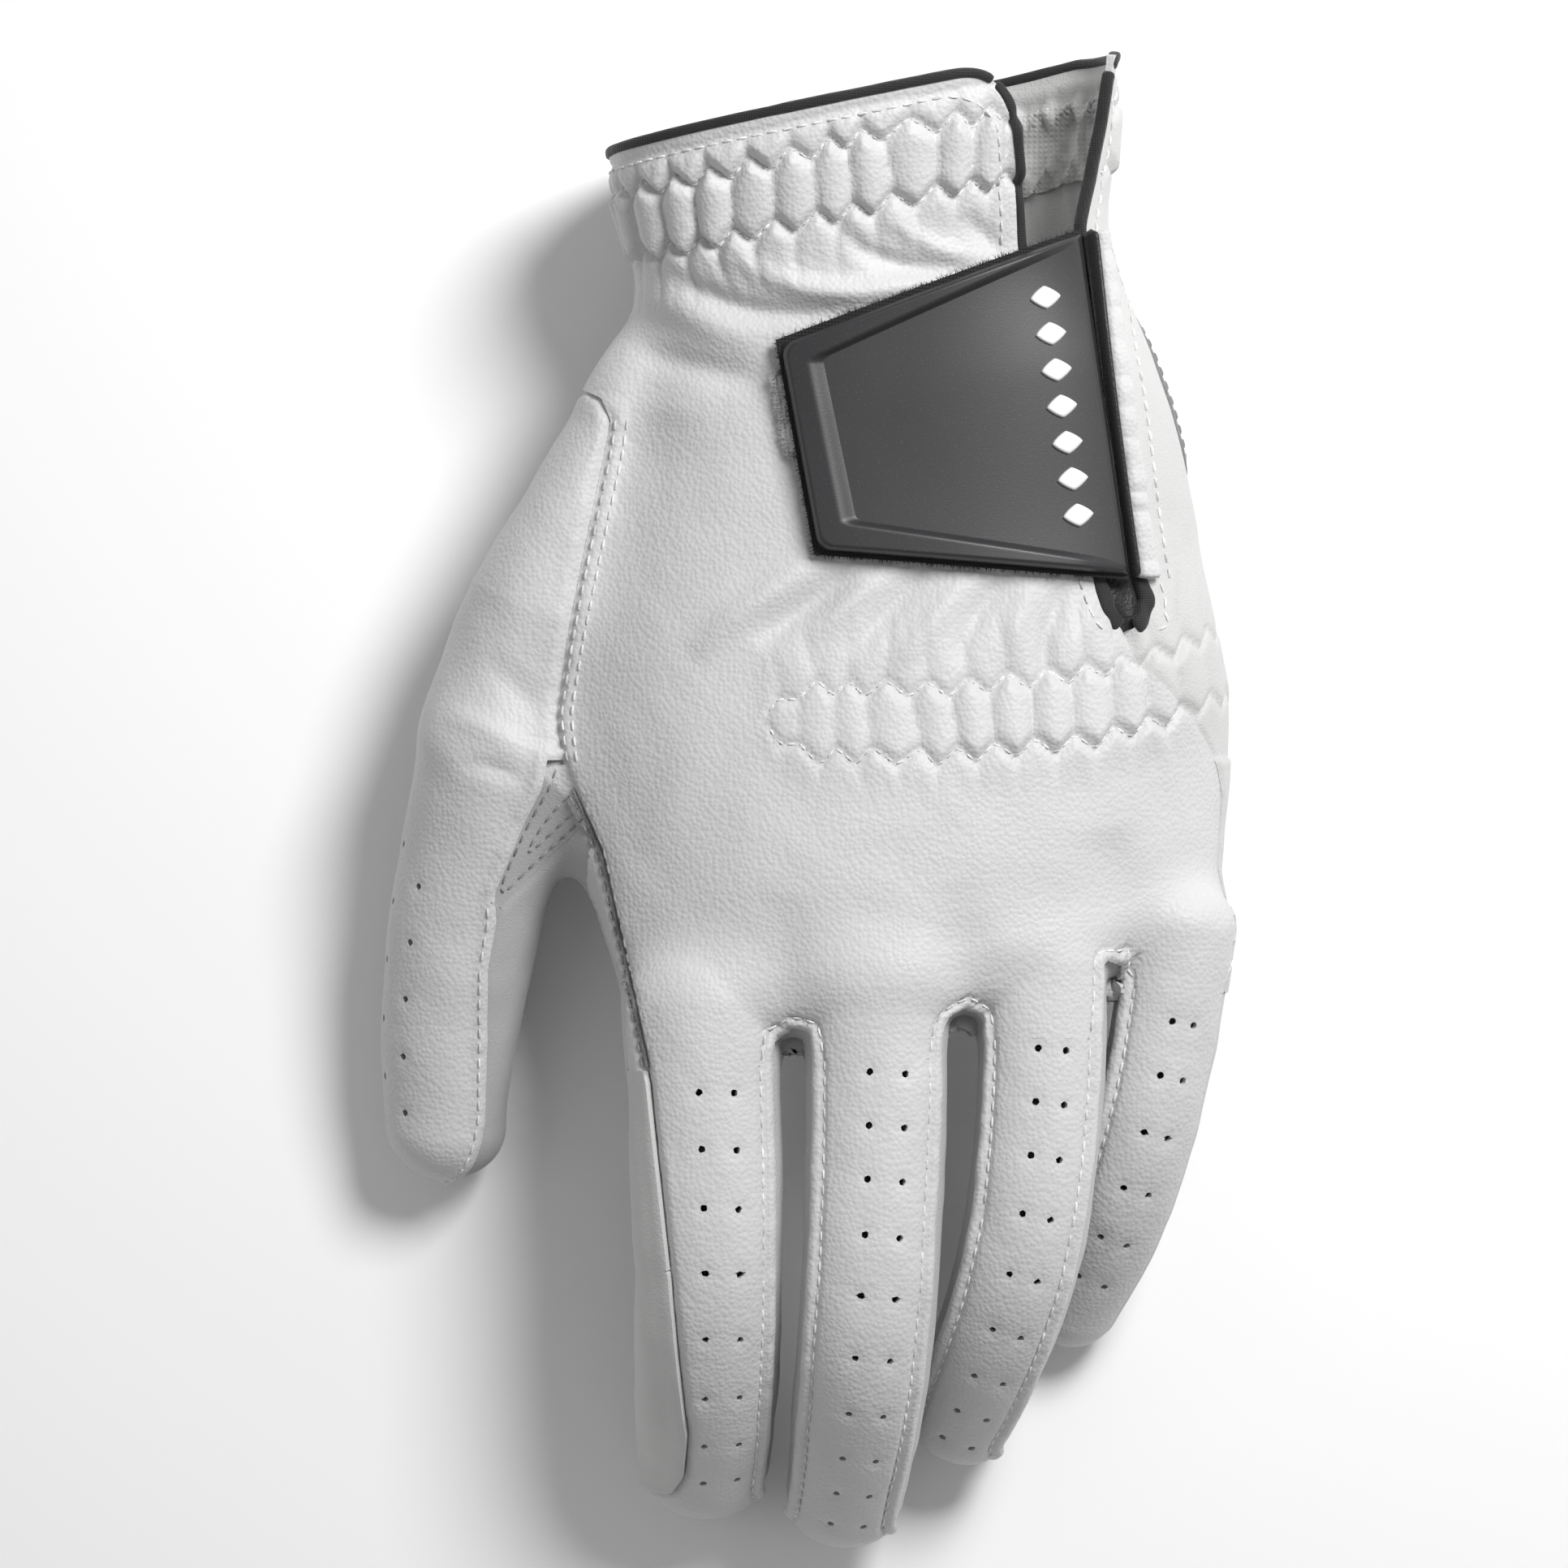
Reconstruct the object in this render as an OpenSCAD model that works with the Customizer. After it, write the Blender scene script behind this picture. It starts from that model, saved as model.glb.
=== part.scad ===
// Golf glove for the left hand, lying palm down with its fingers gently curled.
// +Z is up out of the back of the hand, -Y runs to the fingertips, +X is the little finger's side.
// The origin is on the surface that the glove rests on, under the middle of its outline.

/* [Leather] */
// Thickness of the glove leather
leather = 1.2; // [0.8:0.1:1.6]
// Clearance between pieces that move past each other
clearance = 0.4; // [0.3:0.1:0.6]

/* [Hand] */
// Y of the cuff edge on the hand's centre line
cuff_y = 104; // [98:1:108]
// Rise of the cuff edge towards the little finger, per mm of width
cuff_slope = 0.17; // [0.1:0.01:0.2]
// Y where the index finger stall starts
root_y = -31.2; // [-34:0.2:-28]
// Height of the open cuff
cuff_h = 51; // [46:1:54]
// Thickness of the binding outside the leather
binding = 0.6; // [0.4:0.1:0.8]
// Angle covered by each lengthwise seam gap between back and palm
seam_gap = 0.5; // [0.3:0.1:1]

/* [Closure tab] */
// Thickness of the moulded tab
tab_t = 1.9; // [1.4:0.1:2.4]
// Width of the tab's outer margin round the raised panel
tab_margin = 4.6; // [3:0.2:6]
// Thickness of the hook fabric under the tab
hook_t = 0.8; // [0.6:0.1:1]
// Thickness of the loop fabric on the back of the hand
loop_t = 0.6; // [0.4:0.1:0.6]

/* [Hinges] */
// How far a finger bends at its base knuckle
knuckle_flex = 40; // [20:5:45]
// How far a finger bends at its middle joint
middle_flex = 40; // [20:5:45]
// How far the little finger can bend at its middle joint
little_middle_flex = 50; // [40:5:60]
// How far a finger straightens past rest
finger_back = 12; // [6:1:15]
// How far the thumb bends at either joint
thumb_flex = 30; // [15:5:35]

/* [Hidden] */

function mix(a, b, t) = a + (b - a) * t;
function ease(t) = let (c = min(max(t, 0), 1)) c * c * (3 - 2 * c);
function steps(n) = [for (i = [0 : n]) i / n];

// ---- thin shells: a grid of outer points and the matching grid of inner points ----

// Faces of a closed shell whose outer and inner grids each have rows x cols points
function shell_faces(rows, cols) =
    let (inner = rows * cols)
    concat(
        [for (r = [0 : rows - 2], c = [0 : cols - 2])
            let (p = r * cols + c)
            each [[p, p + 1, p + cols + 1], [p, p + cols + 1, p + cols]]],
        [for (r = [0 : rows - 2], c = [0 : cols - 2])
            let (p = inner + r * cols + c)
            each [[p, p + cols + 1, p + 1], [p, p + cols, p + cols + 1]]],
        [for (r = [0 : rows - 2])
            let (p = r * cols, q = inner + p)
            each [[p, p + cols, q + cols], [p, q + cols, q]]],
        [for (r = [0 : rows - 2])
            let (p = r * cols + cols - 1, q = inner + p)
            each [[p, q + cols, p + cols], [p, q, q + cols]]],
        [for (c = [0 : cols - 2])
            let (p = c, q = inner + p)
            each [[p, q + 1, p + 1], [p, q, q + 1]]],
        [for (c = [0 : cols - 2])
            let (p = (rows - 1) * cols + c, q = inner + p)
            each [[p, p + 1, q + 1], [p, q + 1, q]]]
    );

module shell(outer, inner) {
    polyhedron(
        points = concat([for (row = outer) each row], [for (row = inner) each row]),
        faces = shell_faces(len(outer), len(outer[0])),
        convexity = 8
    );
}

// ---- the hand: an oval tube that flattens and arches from the cuff to the finger roots ----

// Each list pairs a share of the way from cuff to finger roots with a value
hand_centre_x = [[0, 8.5], [0.2, 10.4], [0.35, 13], [0.5, 12.5], [0.65, 12.3], [0.8, 14.2], [1, 17]];
hand_half_w = [[0, 39], [0.2, 35.4], [0.35, 40], [0.5, 46], [0.65, 49.3], [0.8, 50], [1, 44.5]];
hand_centre_z = [[0, cuff_h / 2], [0.2, 23], [0.35, 22.5], [0.5, 23.5], [0.65, 27], [0.8, 31], [1, 35.5]];
hand_half_h = [[0, cuff_h / 2 - binding], [0.2, 21], [0.35, 21], [0.5, 20.5], [0.65, 18.5], [0.8, 16], [1, 12.5]];
hand_droop = [[0, 0], [0.35, 0], [0.5, 0.001], [0.65, 0.002], [0.8, 0.0035], [1, 0.0046]];
squareness = 2.4;
arch_x = 8;

function signed_power(c) = sign(c) * pow(abs(c), 2 / squareness);
function cuff_edge(x) = min(cuff_y + cuff_slope * x, 111.9);
function root_edge(x) = root_y + 0.0027 * pow(x + 12, 2);

// A point of the hand's surface: v runs cuff to finger roots, turn goes round, inset goes inwards
function hand_point(v, turn, inset) =
    let (
        x = lookup(v, hand_centre_x) + (lookup(v, hand_half_w) - inset) * signed_power(cos(turn)),
        z = lookup(v, hand_centre_z) + (lookup(v, hand_half_h) - inset) * signed_power(sin(turn))
    )
    [x, mix(cuff_edge(x), root_edge(x), v), z - lookup(v, hand_droop) * pow(x - arch_x, 2)];

// Height of the back of the hand over a point in plan
function hand_top(x, y) =
    let (
        v = (cuff_edge(x) - y) / (cuff_edge(x) - root_edge(x)),
        c = min(abs(x - lookup(v, hand_centre_x)) / lookup(v, hand_half_w), 1)
    )
    lookup(v, hand_centre_z)
        + lookup(v, hand_half_h) * pow(1 - pow(c, squareness), 1 / squareness)
        - lookup(v, hand_droop) * pow(x - arch_x, 2);

// Angles round the hand of the pieces' edges, along the hand
radial_seam = 168;
slit_foot = 0.5;
foot_end = 0.66;
ulnar_seam = 13;
slit_left = [[0, 57], [0.3, 52], [slit_foot, 46], [foot_end, ulnar_seam], [1, ulnar_seam]];
slit_right = [[0, 20], [0.2, 38], [slit_foot, 43], [foot_end, ulnar_seam - seam_gap],
    [1, ulnar_seam - seam_gap]];
palm_radial = [[0, radial_seam], [0.3, radial_seam], [0.4, 214], [0.5, 234], [0.68, 234],
    [0.78, 200], [0.86, radial_seam], [1, radial_seam]];

// A patch of the hand between v0 and v1; from and to give its side edges, in degrees along v
module hand_patch(v0, v1, from, to, outside, inside, rows, cols) {
    function grid(inset) = [for (t = steps(rows))
        let (v = mix(v0, v1, t), a = lookup(v, from), b = lookup(v, to))
        [for (u = steps(cols)) hand_point(v, mix(b, a, u), inset)]];
    shell(grid(outside), grid(inside));
}
function level(angle) = [[0, angle], [1, angle]];
function raised(edges, by) = [for (e = edges) [e[0], e[1] + by]];

cuff_v = 0.01;
module back_panel() {
    color("whitesmoke")
    hand_patch(cuff_v, 1, slit_left, level(radial_seam - seam_gap), 0, leather, 32, 18);
}
module palm_panel() {
    color("gainsboro")
    hand_patch(cuff_v, 1, palm_radial, raised(slit_right, 360), 0, leather, 26, 22);
}
// Reinforcing patch sewn on the outside of the palm's heel
module palm_heel_patch() {
    color("dimgray") hand_patch(0.21, 0.44, level(268), level(352), -0.9, -0.25, 8, 10);
}
// Gathering elastics, sewn to the inner face of the leather
elastic_in = leather + 0.2;
module knuckle_elastic() {
    color("white") hand_patch(0.63, 0.70, level(22), level(112), elastic_in, elastic_in + 0.8, 3, 12);
}
module wrist_elastic_back() {
    color("white") hand_patch(0.05, 0.12, level(62), level(164), elastic_in, elastic_in + 0.8, 3, 12);
}
module wrist_elastic_palm() {
    color("white") hand_patch(0.05, 0.12, level(176), level(372), elastic_in, elastic_in + 0.8, 3, 18);
}
// Fabric bindings folded over the raw edges
bind_out = -binding;
bind_in = leather + binding;
bind_end = cuff_v - 0.001;
module cuff_binding_back() {
    color("black")
    hand_patch(-0.008, bind_end, slit_left, level(radial_seam - seam_gap), bind_out, bind_in, 2, 18);
}
module cuff_binding_palm() {
    color("black")
    hand_patch(-0.008, bind_end, level(radial_seam), raised(slit_right, 360), bind_out, bind_in, 2, 22);
}
bind_turn = 2.6;
module slit_binding_back() {
    color("black")
    hand_patch(cuff_v, 0.48, raised(slit_left, -bind_turn), raised(slit_left, -0.4), bind_out, bind_in, 12, 2);
}
module slit_binding_palm() {
    color("black")
    hand_patch(cuff_v, 0.19, raised(slit_right, 0.4), raised(slit_right, bind_turn), bind_out, bind_in, 8, 2);
}
// Small reinforcement under the slit's foot
module slit_stay() {
    color("gray") hand_patch(0.575, 0.62, level(14), level(48), elastic_in + 0.2, elastic_in + 0.9, 3, 8);
}

// ---- closure tab and what it fastens to ----

// Corners of the tab in plan: free end top and bottom, hinge end bottom and top
tab_free_top = [-4.0, 67.8];
tab_free_bottom = [1.6, 37.3];
tab_hinge_bottom = [46.6, 33.8];
tab_hinge_top = [39.2, 84.4];
hinge_gap = 1.8;
tab_lift = 1.3;

// A point of the tab's outline square: along goes free end to hinge, across goes bottom to top
function tab_plan(along, across, margin) =
    let (
        free = mix(tab_free_bottom, tab_free_top, across),
        hinge = mix(tab_hinge_bottom, tab_hinge_top, across),
        length = norm(hinge - free),
        height = mix(norm(tab_free_top - tab_free_bottom), norm(tab_hinge_top - tab_hinge_bottom), along)
    )
    mix(free, hinge, mix(margin / length, 1 - margin / length, along))
        + [0, (0.5 - across) * 2 * margin * min(1, 32 / height)];

// A slab that follows the back of the hand under the tab, between two heights above it
// last is the share of the tab's length that it covers, from the free end
module tab_slab(margin, low, high, last = 1) {
    function grid(lift) = [for (u = steps(8))
        [for (w = steps(8))
            let (p = tab_plan(u * last, w, margin))
            [p[0], p[1], hand_top(p[0], p[1]) + lift]]];
    shell(grid(high), grid(low));
}

tab_low = tab_lift + hook_t + 0.1;
// The loop patch stops short of the slit
loop_share = 0.55;
module loop_patch() { color("lightgray") tab_slab(3, 0.2, 0.2 + loop_t, loop_share); }
module tab_hook_patch() { color("black") tab_slab(-0.3, tab_lift, tab_lift + hook_t); }
// Height of the raised panel above the tab's margin
panel_rise = 0.9;
module tab_shell() { color("dimgray") tab_slab(0, tab_low, tab_low + tab_t); }
module tab_panel() {
    color("gray") tab_slab(tab_margin, tab_low + tab_t + 0.12, tab_low + tab_t + panel_rise);
}
// A row of plain lozenges on the raised panel, beside the hinge
pip_count = 7;
pip_size = [4.2, 3.0, 0.8];
module tab_pips() {
    color("white")
    for (i = [0 : pip_count - 1]) {
        p = tab_plan(0.86, mix(0.16, 0.84, i / (pip_count - 1)), tab_margin);
        slope = atan(hand_top(p[0] + 1, p[1]) - hand_top(p[0] - 1, p[1])) / 2;
        translate([p[0], p[1], hand_top(p[0], p[1]) + tab_low + tab_t + panel_rise + 0.4])
        rotate([0, -slope * 2, 8])
        linear_extrude(pip_size[2])
        polygon([[-pip_size[0] / 2, 0], [0, -pip_size[1] / 2], [pip_size[0] / 2, 0], [0, pip_size[1] / 2]]);
    }
}
// Leather strip that joins the tab to the hand and folds when the tab is opened
hinge_top = [tab_hinge_top[0] + hinge_gap, tab_hinge_top[1]];
hinge_bottom = [tab_hinge_bottom[0] + hinge_gap, tab_hinge_bottom[1]];
// A strip beside the hinge line, from off0 to off1 right of it; narrow is its width's share at the top
function fold_rows(off0, off1, lift, narrow) =
    [for (t = steps(8))
        let (p = mix(hinge_bottom, hinge_top, t), last = mix(off0, off1, mix(1, narrow, t)))
        [for (u = steps(4))
            let (x = p[0] + mix(off0, last, u))
            [x, p[1], hand_top(x, p[1]) + lift]]];
module fold_strip(off0, off1, low, high, narrow = 1) {
    shell(fold_rows(off0, off1, high, narrow), fold_rows(off0, off1, low, narrow));
}
module tab_hinge_strip() {
    color("black") fold_strip(-hinge_gap + 0.45, -0.1, tab_lift + 0.3, tab_lift + 1.5);
}
anchor_w = 3.3;
anchor_gap = clearance + 0.6;
anchor_narrow = 0.55;
// Where its stitching runs, right of the hinge line, at the bottom and at the top
anchor_seam = [5.6, 3.7];
module anchor_fold() {
    color("white") fold_strip(anchor_gap, anchor_gap + anchor_w, 0.6, 2.0, anchor_narrow);
}
// Thread stitches: short bars laid along a line between two points in plan
module stitches(from, to, count, lift) {
    size = [2.2, 0.5, 0.4];
    heading = atan2(to[1] - from[1], to[0] - from[0]);
    for (i = [0 : count - 1]) {
        p = mix(from, to, (i + 0.5) / count);
        translate([p[0], p[1], hand_top(p[0], p[1]) + lift]) rotate(heading) cube(size, center = true);
    }
}
module anchor_stitches() {
    color("white") stitches(hinge_bottom + [anchor_seam[0], 1], hinge_top + [anchor_seam[1], -1], 15, 1.4);
}
module cuff_stitches() {
    color("white") stitches([-18, cuff_edge(-18) - 4.2], [24, cuff_edge(24) - 4.2], 13, 0.9);
}
module wrist_seam_stitches() {
    color("white") stitches([-22.5, 54], [-31, 12], 12, 0.75);
}

// ---- fingers and thumb: tubes along curved centre lines ----

// start, length, widths, heights, headings, pitches, where the curl starts and ends,
// tilt of the bending plane, hinge places along the digit, bends forward and back at each hinge
index = [[-16.4, -31, 35.7], 88, [21.8, 19.6], [19, 17], [2.5, -3], [0, 50], [24, 72], 0, [3, 46],
    [[knuckle_flex, finger_back], [middle_flex, finger_back]]];
middle = [[9.8, -28.5, 38.3], 96, [21.4, 18.8], [19, 16.6], [0, -8.5], [0, 52], [30, 80], 0, [3, 52],
    [[knuckle_flex, finger_back], [middle_flex, finger_back]]];
ring = [[35.4, -24.5, 34], 89, [19.2, 16.2], [18, 15], [0.5, -22], [0, 50], [26, 72], 0, [3, 46],
    [[knuckle_flex, 0], [middle_flex, 0]]];
little = [[56.2, -19, 27.2], 72, [16.6, 14], [15.6, 12.8], [-6, -27], [6, 36], [18, 56], 0, [3, 38],
    [[knuckle_flex, 0], [little_middle_flex, 0]]];
thumb = [[-46, 6, 20], 66, [26, 17], [24, 15.5], [-15, -1], [14, 10], [0, 40], 45, [10, 36],
    [[thumb_flex, 12], [thumb_flex, 6]]];

function start(d) = d[0];
function reach(d) = d[1];
function heading(d, s) = mix(d[4][0], d[4][1], ease(s / reach(d)));
function pitch(d, s) = mix(d[5][0], d[5][1], ease((s - d[6][0]) / (d[6][1] - d[6][0])));
function ahead(d, s) =
    let (h = heading(d, s), p = pitch(d, s))
    [sin(h) * cos(p), -cos(h) * cos(p), -sin(p)];
function across(d, s) = [cos(heading(d, s)), sin(heading(d, s)), 0];
function upward(d, s) = cross(across(d, s), ahead(d, s)) * -1;
path_steps = 40;
function path(d) =
    let (step = reach(d) / path_steps)
    [for (i = 0, p = start(d); i <= path_steps; p = p + step * ahead(d, (i + 0.5) * step), i = i + 1) p];
function on_path(route, d, s) =
    let (k = min(max(s / reach(d) * path_steps, 0), path_steps - 0.001), i = floor(k))
    mix(route[i], route[i + 1], k - i);

tip_share = 0.52;
function tip_taper(d, s) =
    let (r = d[2][1] * tip_share, over = max(s - (reach(d) - r), 0) / r)
    sqrt(max(1 - over * over, 0));
function half_w(d, s) = mix(d[2][0], d[2][1], s / reach(d)) / 2 * tip_taper(d, s);
function half_h(d, s) = mix(d[3][0], d[3][1], s / reach(d)) / 2 * tip_taper(d, s);

// How far a point of the tube's section leans towards the bending side
function lean(d, s, turn) = half_h(d, s) * -sin(turn) * cos(d[7]) + half_w(d, s) * cos(turn) * sin(d[7]);
// Degrees added to each bend when a tube's ends are cut back
extra_cut = 5;
// Length cut from the tube at a hinge so that its ends clear each other at both limits
function cut_back(d, s, turn, limits, share) =
    let (e = lean(d, s, turn), angle = (e > 0 ? limits[0] : limits[1]) * share)
    clearance + abs(e) * tan(angle + extra_cut);

function digit_point(d, route, s, turn, inset) =
    on_path(route, d, s)
        + max(half_w(d, s) - inset, 0.1) * cos(turn) * across(d, s)
        + max(half_h(d, s) - inset, 0.1) * sin(turn) * upward(d, s);

// One strip of a finger: part 0 runs from the base knuckle to the middle joint, part 1 to the tip
module strip(d, part, from, to, cols) {
    route = path(d);
    rows = part == 0 ? 6 : 11;
    base = d[8][0];
    joint = d[8][1];
    tip = reach(d) - 0.3;
    function row_s(t, turn) = part == 0
        ? mix(base + cut_back(d, base, turn, d[9][0], 1), joint - cut_back(d, joint, turn, d[9][1], 0.5), t)
        : mix(joint + cut_back(d, joint, turn, d[9][1], 0.5), tip, sin(90 * t));
    function grid(inset) = [for (t = steps(rows))
        [for (u = steps(cols))
            let (turn = mix(to, from, u))
            digit_point(d, route, row_s(t, turn), turn, inset)]];
    shell(grid(0), grid(leather));
}

side_turn = 32;
function split(turn, by) = turn + by * seam_gap;
module back_strip(d, part) {
    color("whitesmoke") strip(d, part, split(side_turn, 1), split(180 - side_turn, -1), 8);
}
// around: how far past its own seams the palm strip wraps, on the thumb's side and on the other side
module palm_strip(d, part, around = [0, 0]) {
    color("gainsboro")
    strip(d, part, split(180 + side_turn - around[0], 1), split(360 - side_turn + around[1], -1),
        around == [0, 0] ? 8 : 14);
}
module outer_side(d, part) { color("silver") strip(d, part, -side_turn, side_turn, 4); }
module thumb_side(d, part) { color("silver") strip(d, part, 180 - side_turn, 180 + side_turn, 4); }
module both_sides(d, part) {
    outer_side(d, part);
    thumb_side(d, part);
}
wrap = side_turn * 2;

// ---- thumb root: a widening tube from the wrist to the thumb's first ring, open to the hand ----

// Centre of the root's first section, beside the wrist
root_start = [-34, 50, 20.5];
root_heading = -30;
root_tilt = 8;
root_half_w = 3;
root_half_h = 11;
// Where the pieces on the web's side begin, as a share of the root's length
web_share = 0.8;

module thumb_root(first, from, to, cols) {
    route = path(thumb);
    last = thumb[8][0] - clearance;
    ring_centre = on_path(route, thumb, last);
    function root_point(t, turn, inset) =
        let (
            grow = sin(90 * t),
            h = mix(root_heading, heading(thumb, last), t),
            w = mix(root_half_w, half_w(thumb, last), grow) - inset,
            z = mix(root_half_h, half_h(thumb, last), grow) - inset
        )
        mix(root_start, ring_centre, t)
            + w * cos(turn) * [cos(h), sin(h), 0]
            + z * sin(turn) * [0, -sin(root_tilt), cos(root_tilt)];
    function grid(inset) = [for (t = steps(8))
        [for (u = steps(cols)) root_point(mix(first, 1, t), mix(to, from, u), inset)]];
    shell(grid(0), grid(leather));
}
module thumb_root_outer() { color("whitesmoke") thumb_root(0, 62, 269.5, 16); }
module thumb_root_inner() { color("gainsboro") thumb_root(web_share, -90, 0, 8); }
module thumb_gusset() { color("silver") thumb_root(web_share, 0.5, 61.5, 6); }

back_panel();
palm_panel();
palm_heel_patch();
knuckle_elastic();
wrist_elastic_back();
wrist_elastic_palm();
cuff_binding_back();
cuff_binding_palm();
slit_binding_back();
slit_binding_palm();
slit_stay();
anchor_fold();
loop_patch();
anchor_stitches();
cuff_stitches();
wrist_seam_stitches();
thumb_root_outer();
thumb_root_inner();
thumb_gusset();
tab_shell();
tab_panel();
tab_pips();
tab_hook_patch();
tab_hinge_strip();
back_strip(index, 0);  // index_back_base
back_strip(index, 1);  // index_back_tip
palm_strip(index, 0, [wrap, 0]);  // index_palm_base
palm_strip(index, 1, [wrap, 0]);  // index_palm_tip
outer_side(index, 0);  // index_side_base
outer_side(index, 1);  // index_side_tip
back_strip(middle, 0);  // middle_back_base
back_strip(middle, 1);  // middle_back_tip
palm_strip(middle, 0);  // middle_palm_base
palm_strip(middle, 1);  // middle_palm_tip
both_sides(middle, 0);  // middle_sides_base
both_sides(middle, 1);  // middle_sides_tip
back_strip(ring, 0);  // ring_back_base
back_strip(ring, 1);  // ring_back_tip
palm_strip(ring, 0);  // ring_palm_base
palm_strip(ring, 1);  // ring_palm_tip
both_sides(ring, 0);  // ring_sides_base
both_sides(ring, 1);  // ring_sides_tip
back_strip(little, 0);  // little_back_base
back_strip(little, 1);  // little_back_tip
palm_strip(little, 0, [0, wrap]);  // little_palm_base
palm_strip(little, 1, [0, wrap]);  // little_palm_tip
thumb_side(little, 0);  // little_side_base
thumb_side(little, 1);  // little_side_tip
back_strip(thumb, 0);  // thumb_outer_base
back_strip(thumb, 1);  // thumb_outer_tip
palm_strip(thumb, 0, [wrap, wrap]);  // thumb_inner_base
palm_strip(thumb, 1, [wrap, wrap]);  // thumb_inner_tip
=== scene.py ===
"""Golf glove: leather panels, gathered elastics, moulded closure tab, bindings and stitching.

All modelling is in millimetres, in the frame's own axes, and becomes metres when a mesh is made.
The form of the worn glove is a distance field: a flattened tube for the hand, joined softly to five
curved tubes for the fingers and thumb. Panels are cut from that form along their seams.
"""
import math

import bpy
import numpy as np
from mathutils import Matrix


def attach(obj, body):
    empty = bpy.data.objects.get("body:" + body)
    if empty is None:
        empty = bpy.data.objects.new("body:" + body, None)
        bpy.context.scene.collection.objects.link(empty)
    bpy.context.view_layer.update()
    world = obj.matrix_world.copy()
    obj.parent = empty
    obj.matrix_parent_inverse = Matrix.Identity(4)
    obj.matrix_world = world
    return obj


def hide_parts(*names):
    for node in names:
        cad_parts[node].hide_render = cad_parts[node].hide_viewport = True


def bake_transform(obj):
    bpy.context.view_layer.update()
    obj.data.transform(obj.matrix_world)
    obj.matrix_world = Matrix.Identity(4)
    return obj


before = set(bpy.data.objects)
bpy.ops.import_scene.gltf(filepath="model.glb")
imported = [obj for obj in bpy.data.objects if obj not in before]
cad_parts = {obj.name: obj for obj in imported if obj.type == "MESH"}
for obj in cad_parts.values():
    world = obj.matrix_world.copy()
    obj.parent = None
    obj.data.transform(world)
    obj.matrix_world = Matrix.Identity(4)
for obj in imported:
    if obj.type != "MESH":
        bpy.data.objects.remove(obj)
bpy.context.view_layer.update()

import openvdb
from mathutils import Vector
from mathutils.bvhtree import BVHTree

MM = 0.001
RNG = np.random.default_rng(11)

# ---------------------------------------------------------------- small helpers

def smooth(t):
    t = np.clip(t, 0, 1)
    return t * t * (3 - 2 * t)


def mix(a, b, t):
    return a + (b - a) * t


def curve_through(places, values, at):
    """Smooth curve through a few stations; flat slopes are kept at the ends."""
    places, values = np.asarray(places, float), np.asarray(values, float)
    at = np.clip(at, places[0], places[-1])
    slopes = np.gradient(values, places)
    slopes[0] = (values[1] - values[0]) / (places[1] - places[0])
    slopes[-1] = (values[-1] - values[-2]) / (places[-1] - places[-2])
    k = np.clip(np.searchsorted(places, at) - 1, 0, len(places) - 2)
    gap = places[k + 1] - places[k]
    t = (at - places[k]) / gap
    return ((2 * t**3 - 3 * t**2 + 1) * values[k] + (t**3 - 2 * t**2 + t) * gap * slopes[k]
            + (3 * t**2 - 2 * t**3) * values[k + 1] + (t**3 - t**2) * gap * slopes[k + 1])


def soft_min(a, b, k):
    h = np.maximum(k - np.abs(a - b), 0) / k
    return np.minimum(a, b) - h * h * k / 4


def bump(x, width):
    return np.exp(-(x / width) ** 2)


def unit(v):
    return v / np.maximum(np.linalg.norm(v, axis=-1, keepdims=True), 1e-9)


def noise3(points, scale, seed):
    """Smooth repeatable noise from -1 to 1, by blending a lattice of random values."""
    table = np.random.default_rng(seed).uniform(-1, 1, (32, 32, 32))
    q = np.asarray(points) / scale
    base = np.floor(q).astype(int)
    f = smooth(q - base)
    total = np.zeros(len(q))
    for corner in range(8):
        step = np.array([corner & 1, corner >> 1 & 1, corner >> 2 & 1])
        i, j, k = ((base + step) % 32).T
        weight = np.where(step, f, 1 - f).prod(axis=1)
        total += weight * table[i, j, k]
    return total


# ---------------------------------------------------------------- form of the hand

# Stations from the cuff (0) to the finger roots (1)
HAND_V = [0, 0.2, 0.35, 0.5, 0.65, 0.8, 1]
HAND_X = [8.5, 10.4, 13, 12.5, 12.3, 14.2, 17]
HAND_HALF_W = [38.6, 35.2, 39.4, 45.6, 48.8, 49.6, 44.3]
HAND_Z = [25.5, 23, 22.5, 23.5, 27, 31, 35.8]
HAND_HALF_H = [25.5, 21, 21, 20.5, 18.5, 15.4, 10.6]
HAND_DROOP = [0, 0, 0, 0.001, 0.002, 0.0035, 0.0046]
SQUARENESS = 2.4
ARCH_X = 8
HAND_LENGTH = 136
END_ROUNDING = 0.085
# How far the hand reaches past the finger roots, to the webs, as a share of its length
WEB_REACH = 0.04


def cuff_edge(x):
    return 103.4 + 0.2 * np.minimum(x, 42)


def root_edge(x):
    return -31.2 + 0.0027 * (x + 12) ** 2


def hand_share(x, y):
    return (cuff_edge(x) - y) / (cuff_edge(x) - root_edge(x))


def hand_section(v):
    inner = np.clip(v, 0, 1)
    half_w, half_h = (curve_through(HAND_V, s, inner) for s in (HAND_HALF_W, HAND_HALF_H))
    over = np.clip((v - 1 - WEB_REACH + END_ROUNDING) / END_ROUNDING, 0, 1.6)
    closing = np.where(over < 1, np.sqrt(np.maximum(1 - over**2, 0)), 0)
    closing = np.maximum(closing, 0.04)
    return (curve_through(HAND_V, HAND_X, inner), curve_through(HAND_V, HAND_Z, inner),
            half_w - (1 - closing) * 6, half_h * closing, curve_through(HAND_V, HAND_DROOP, inner))


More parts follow.
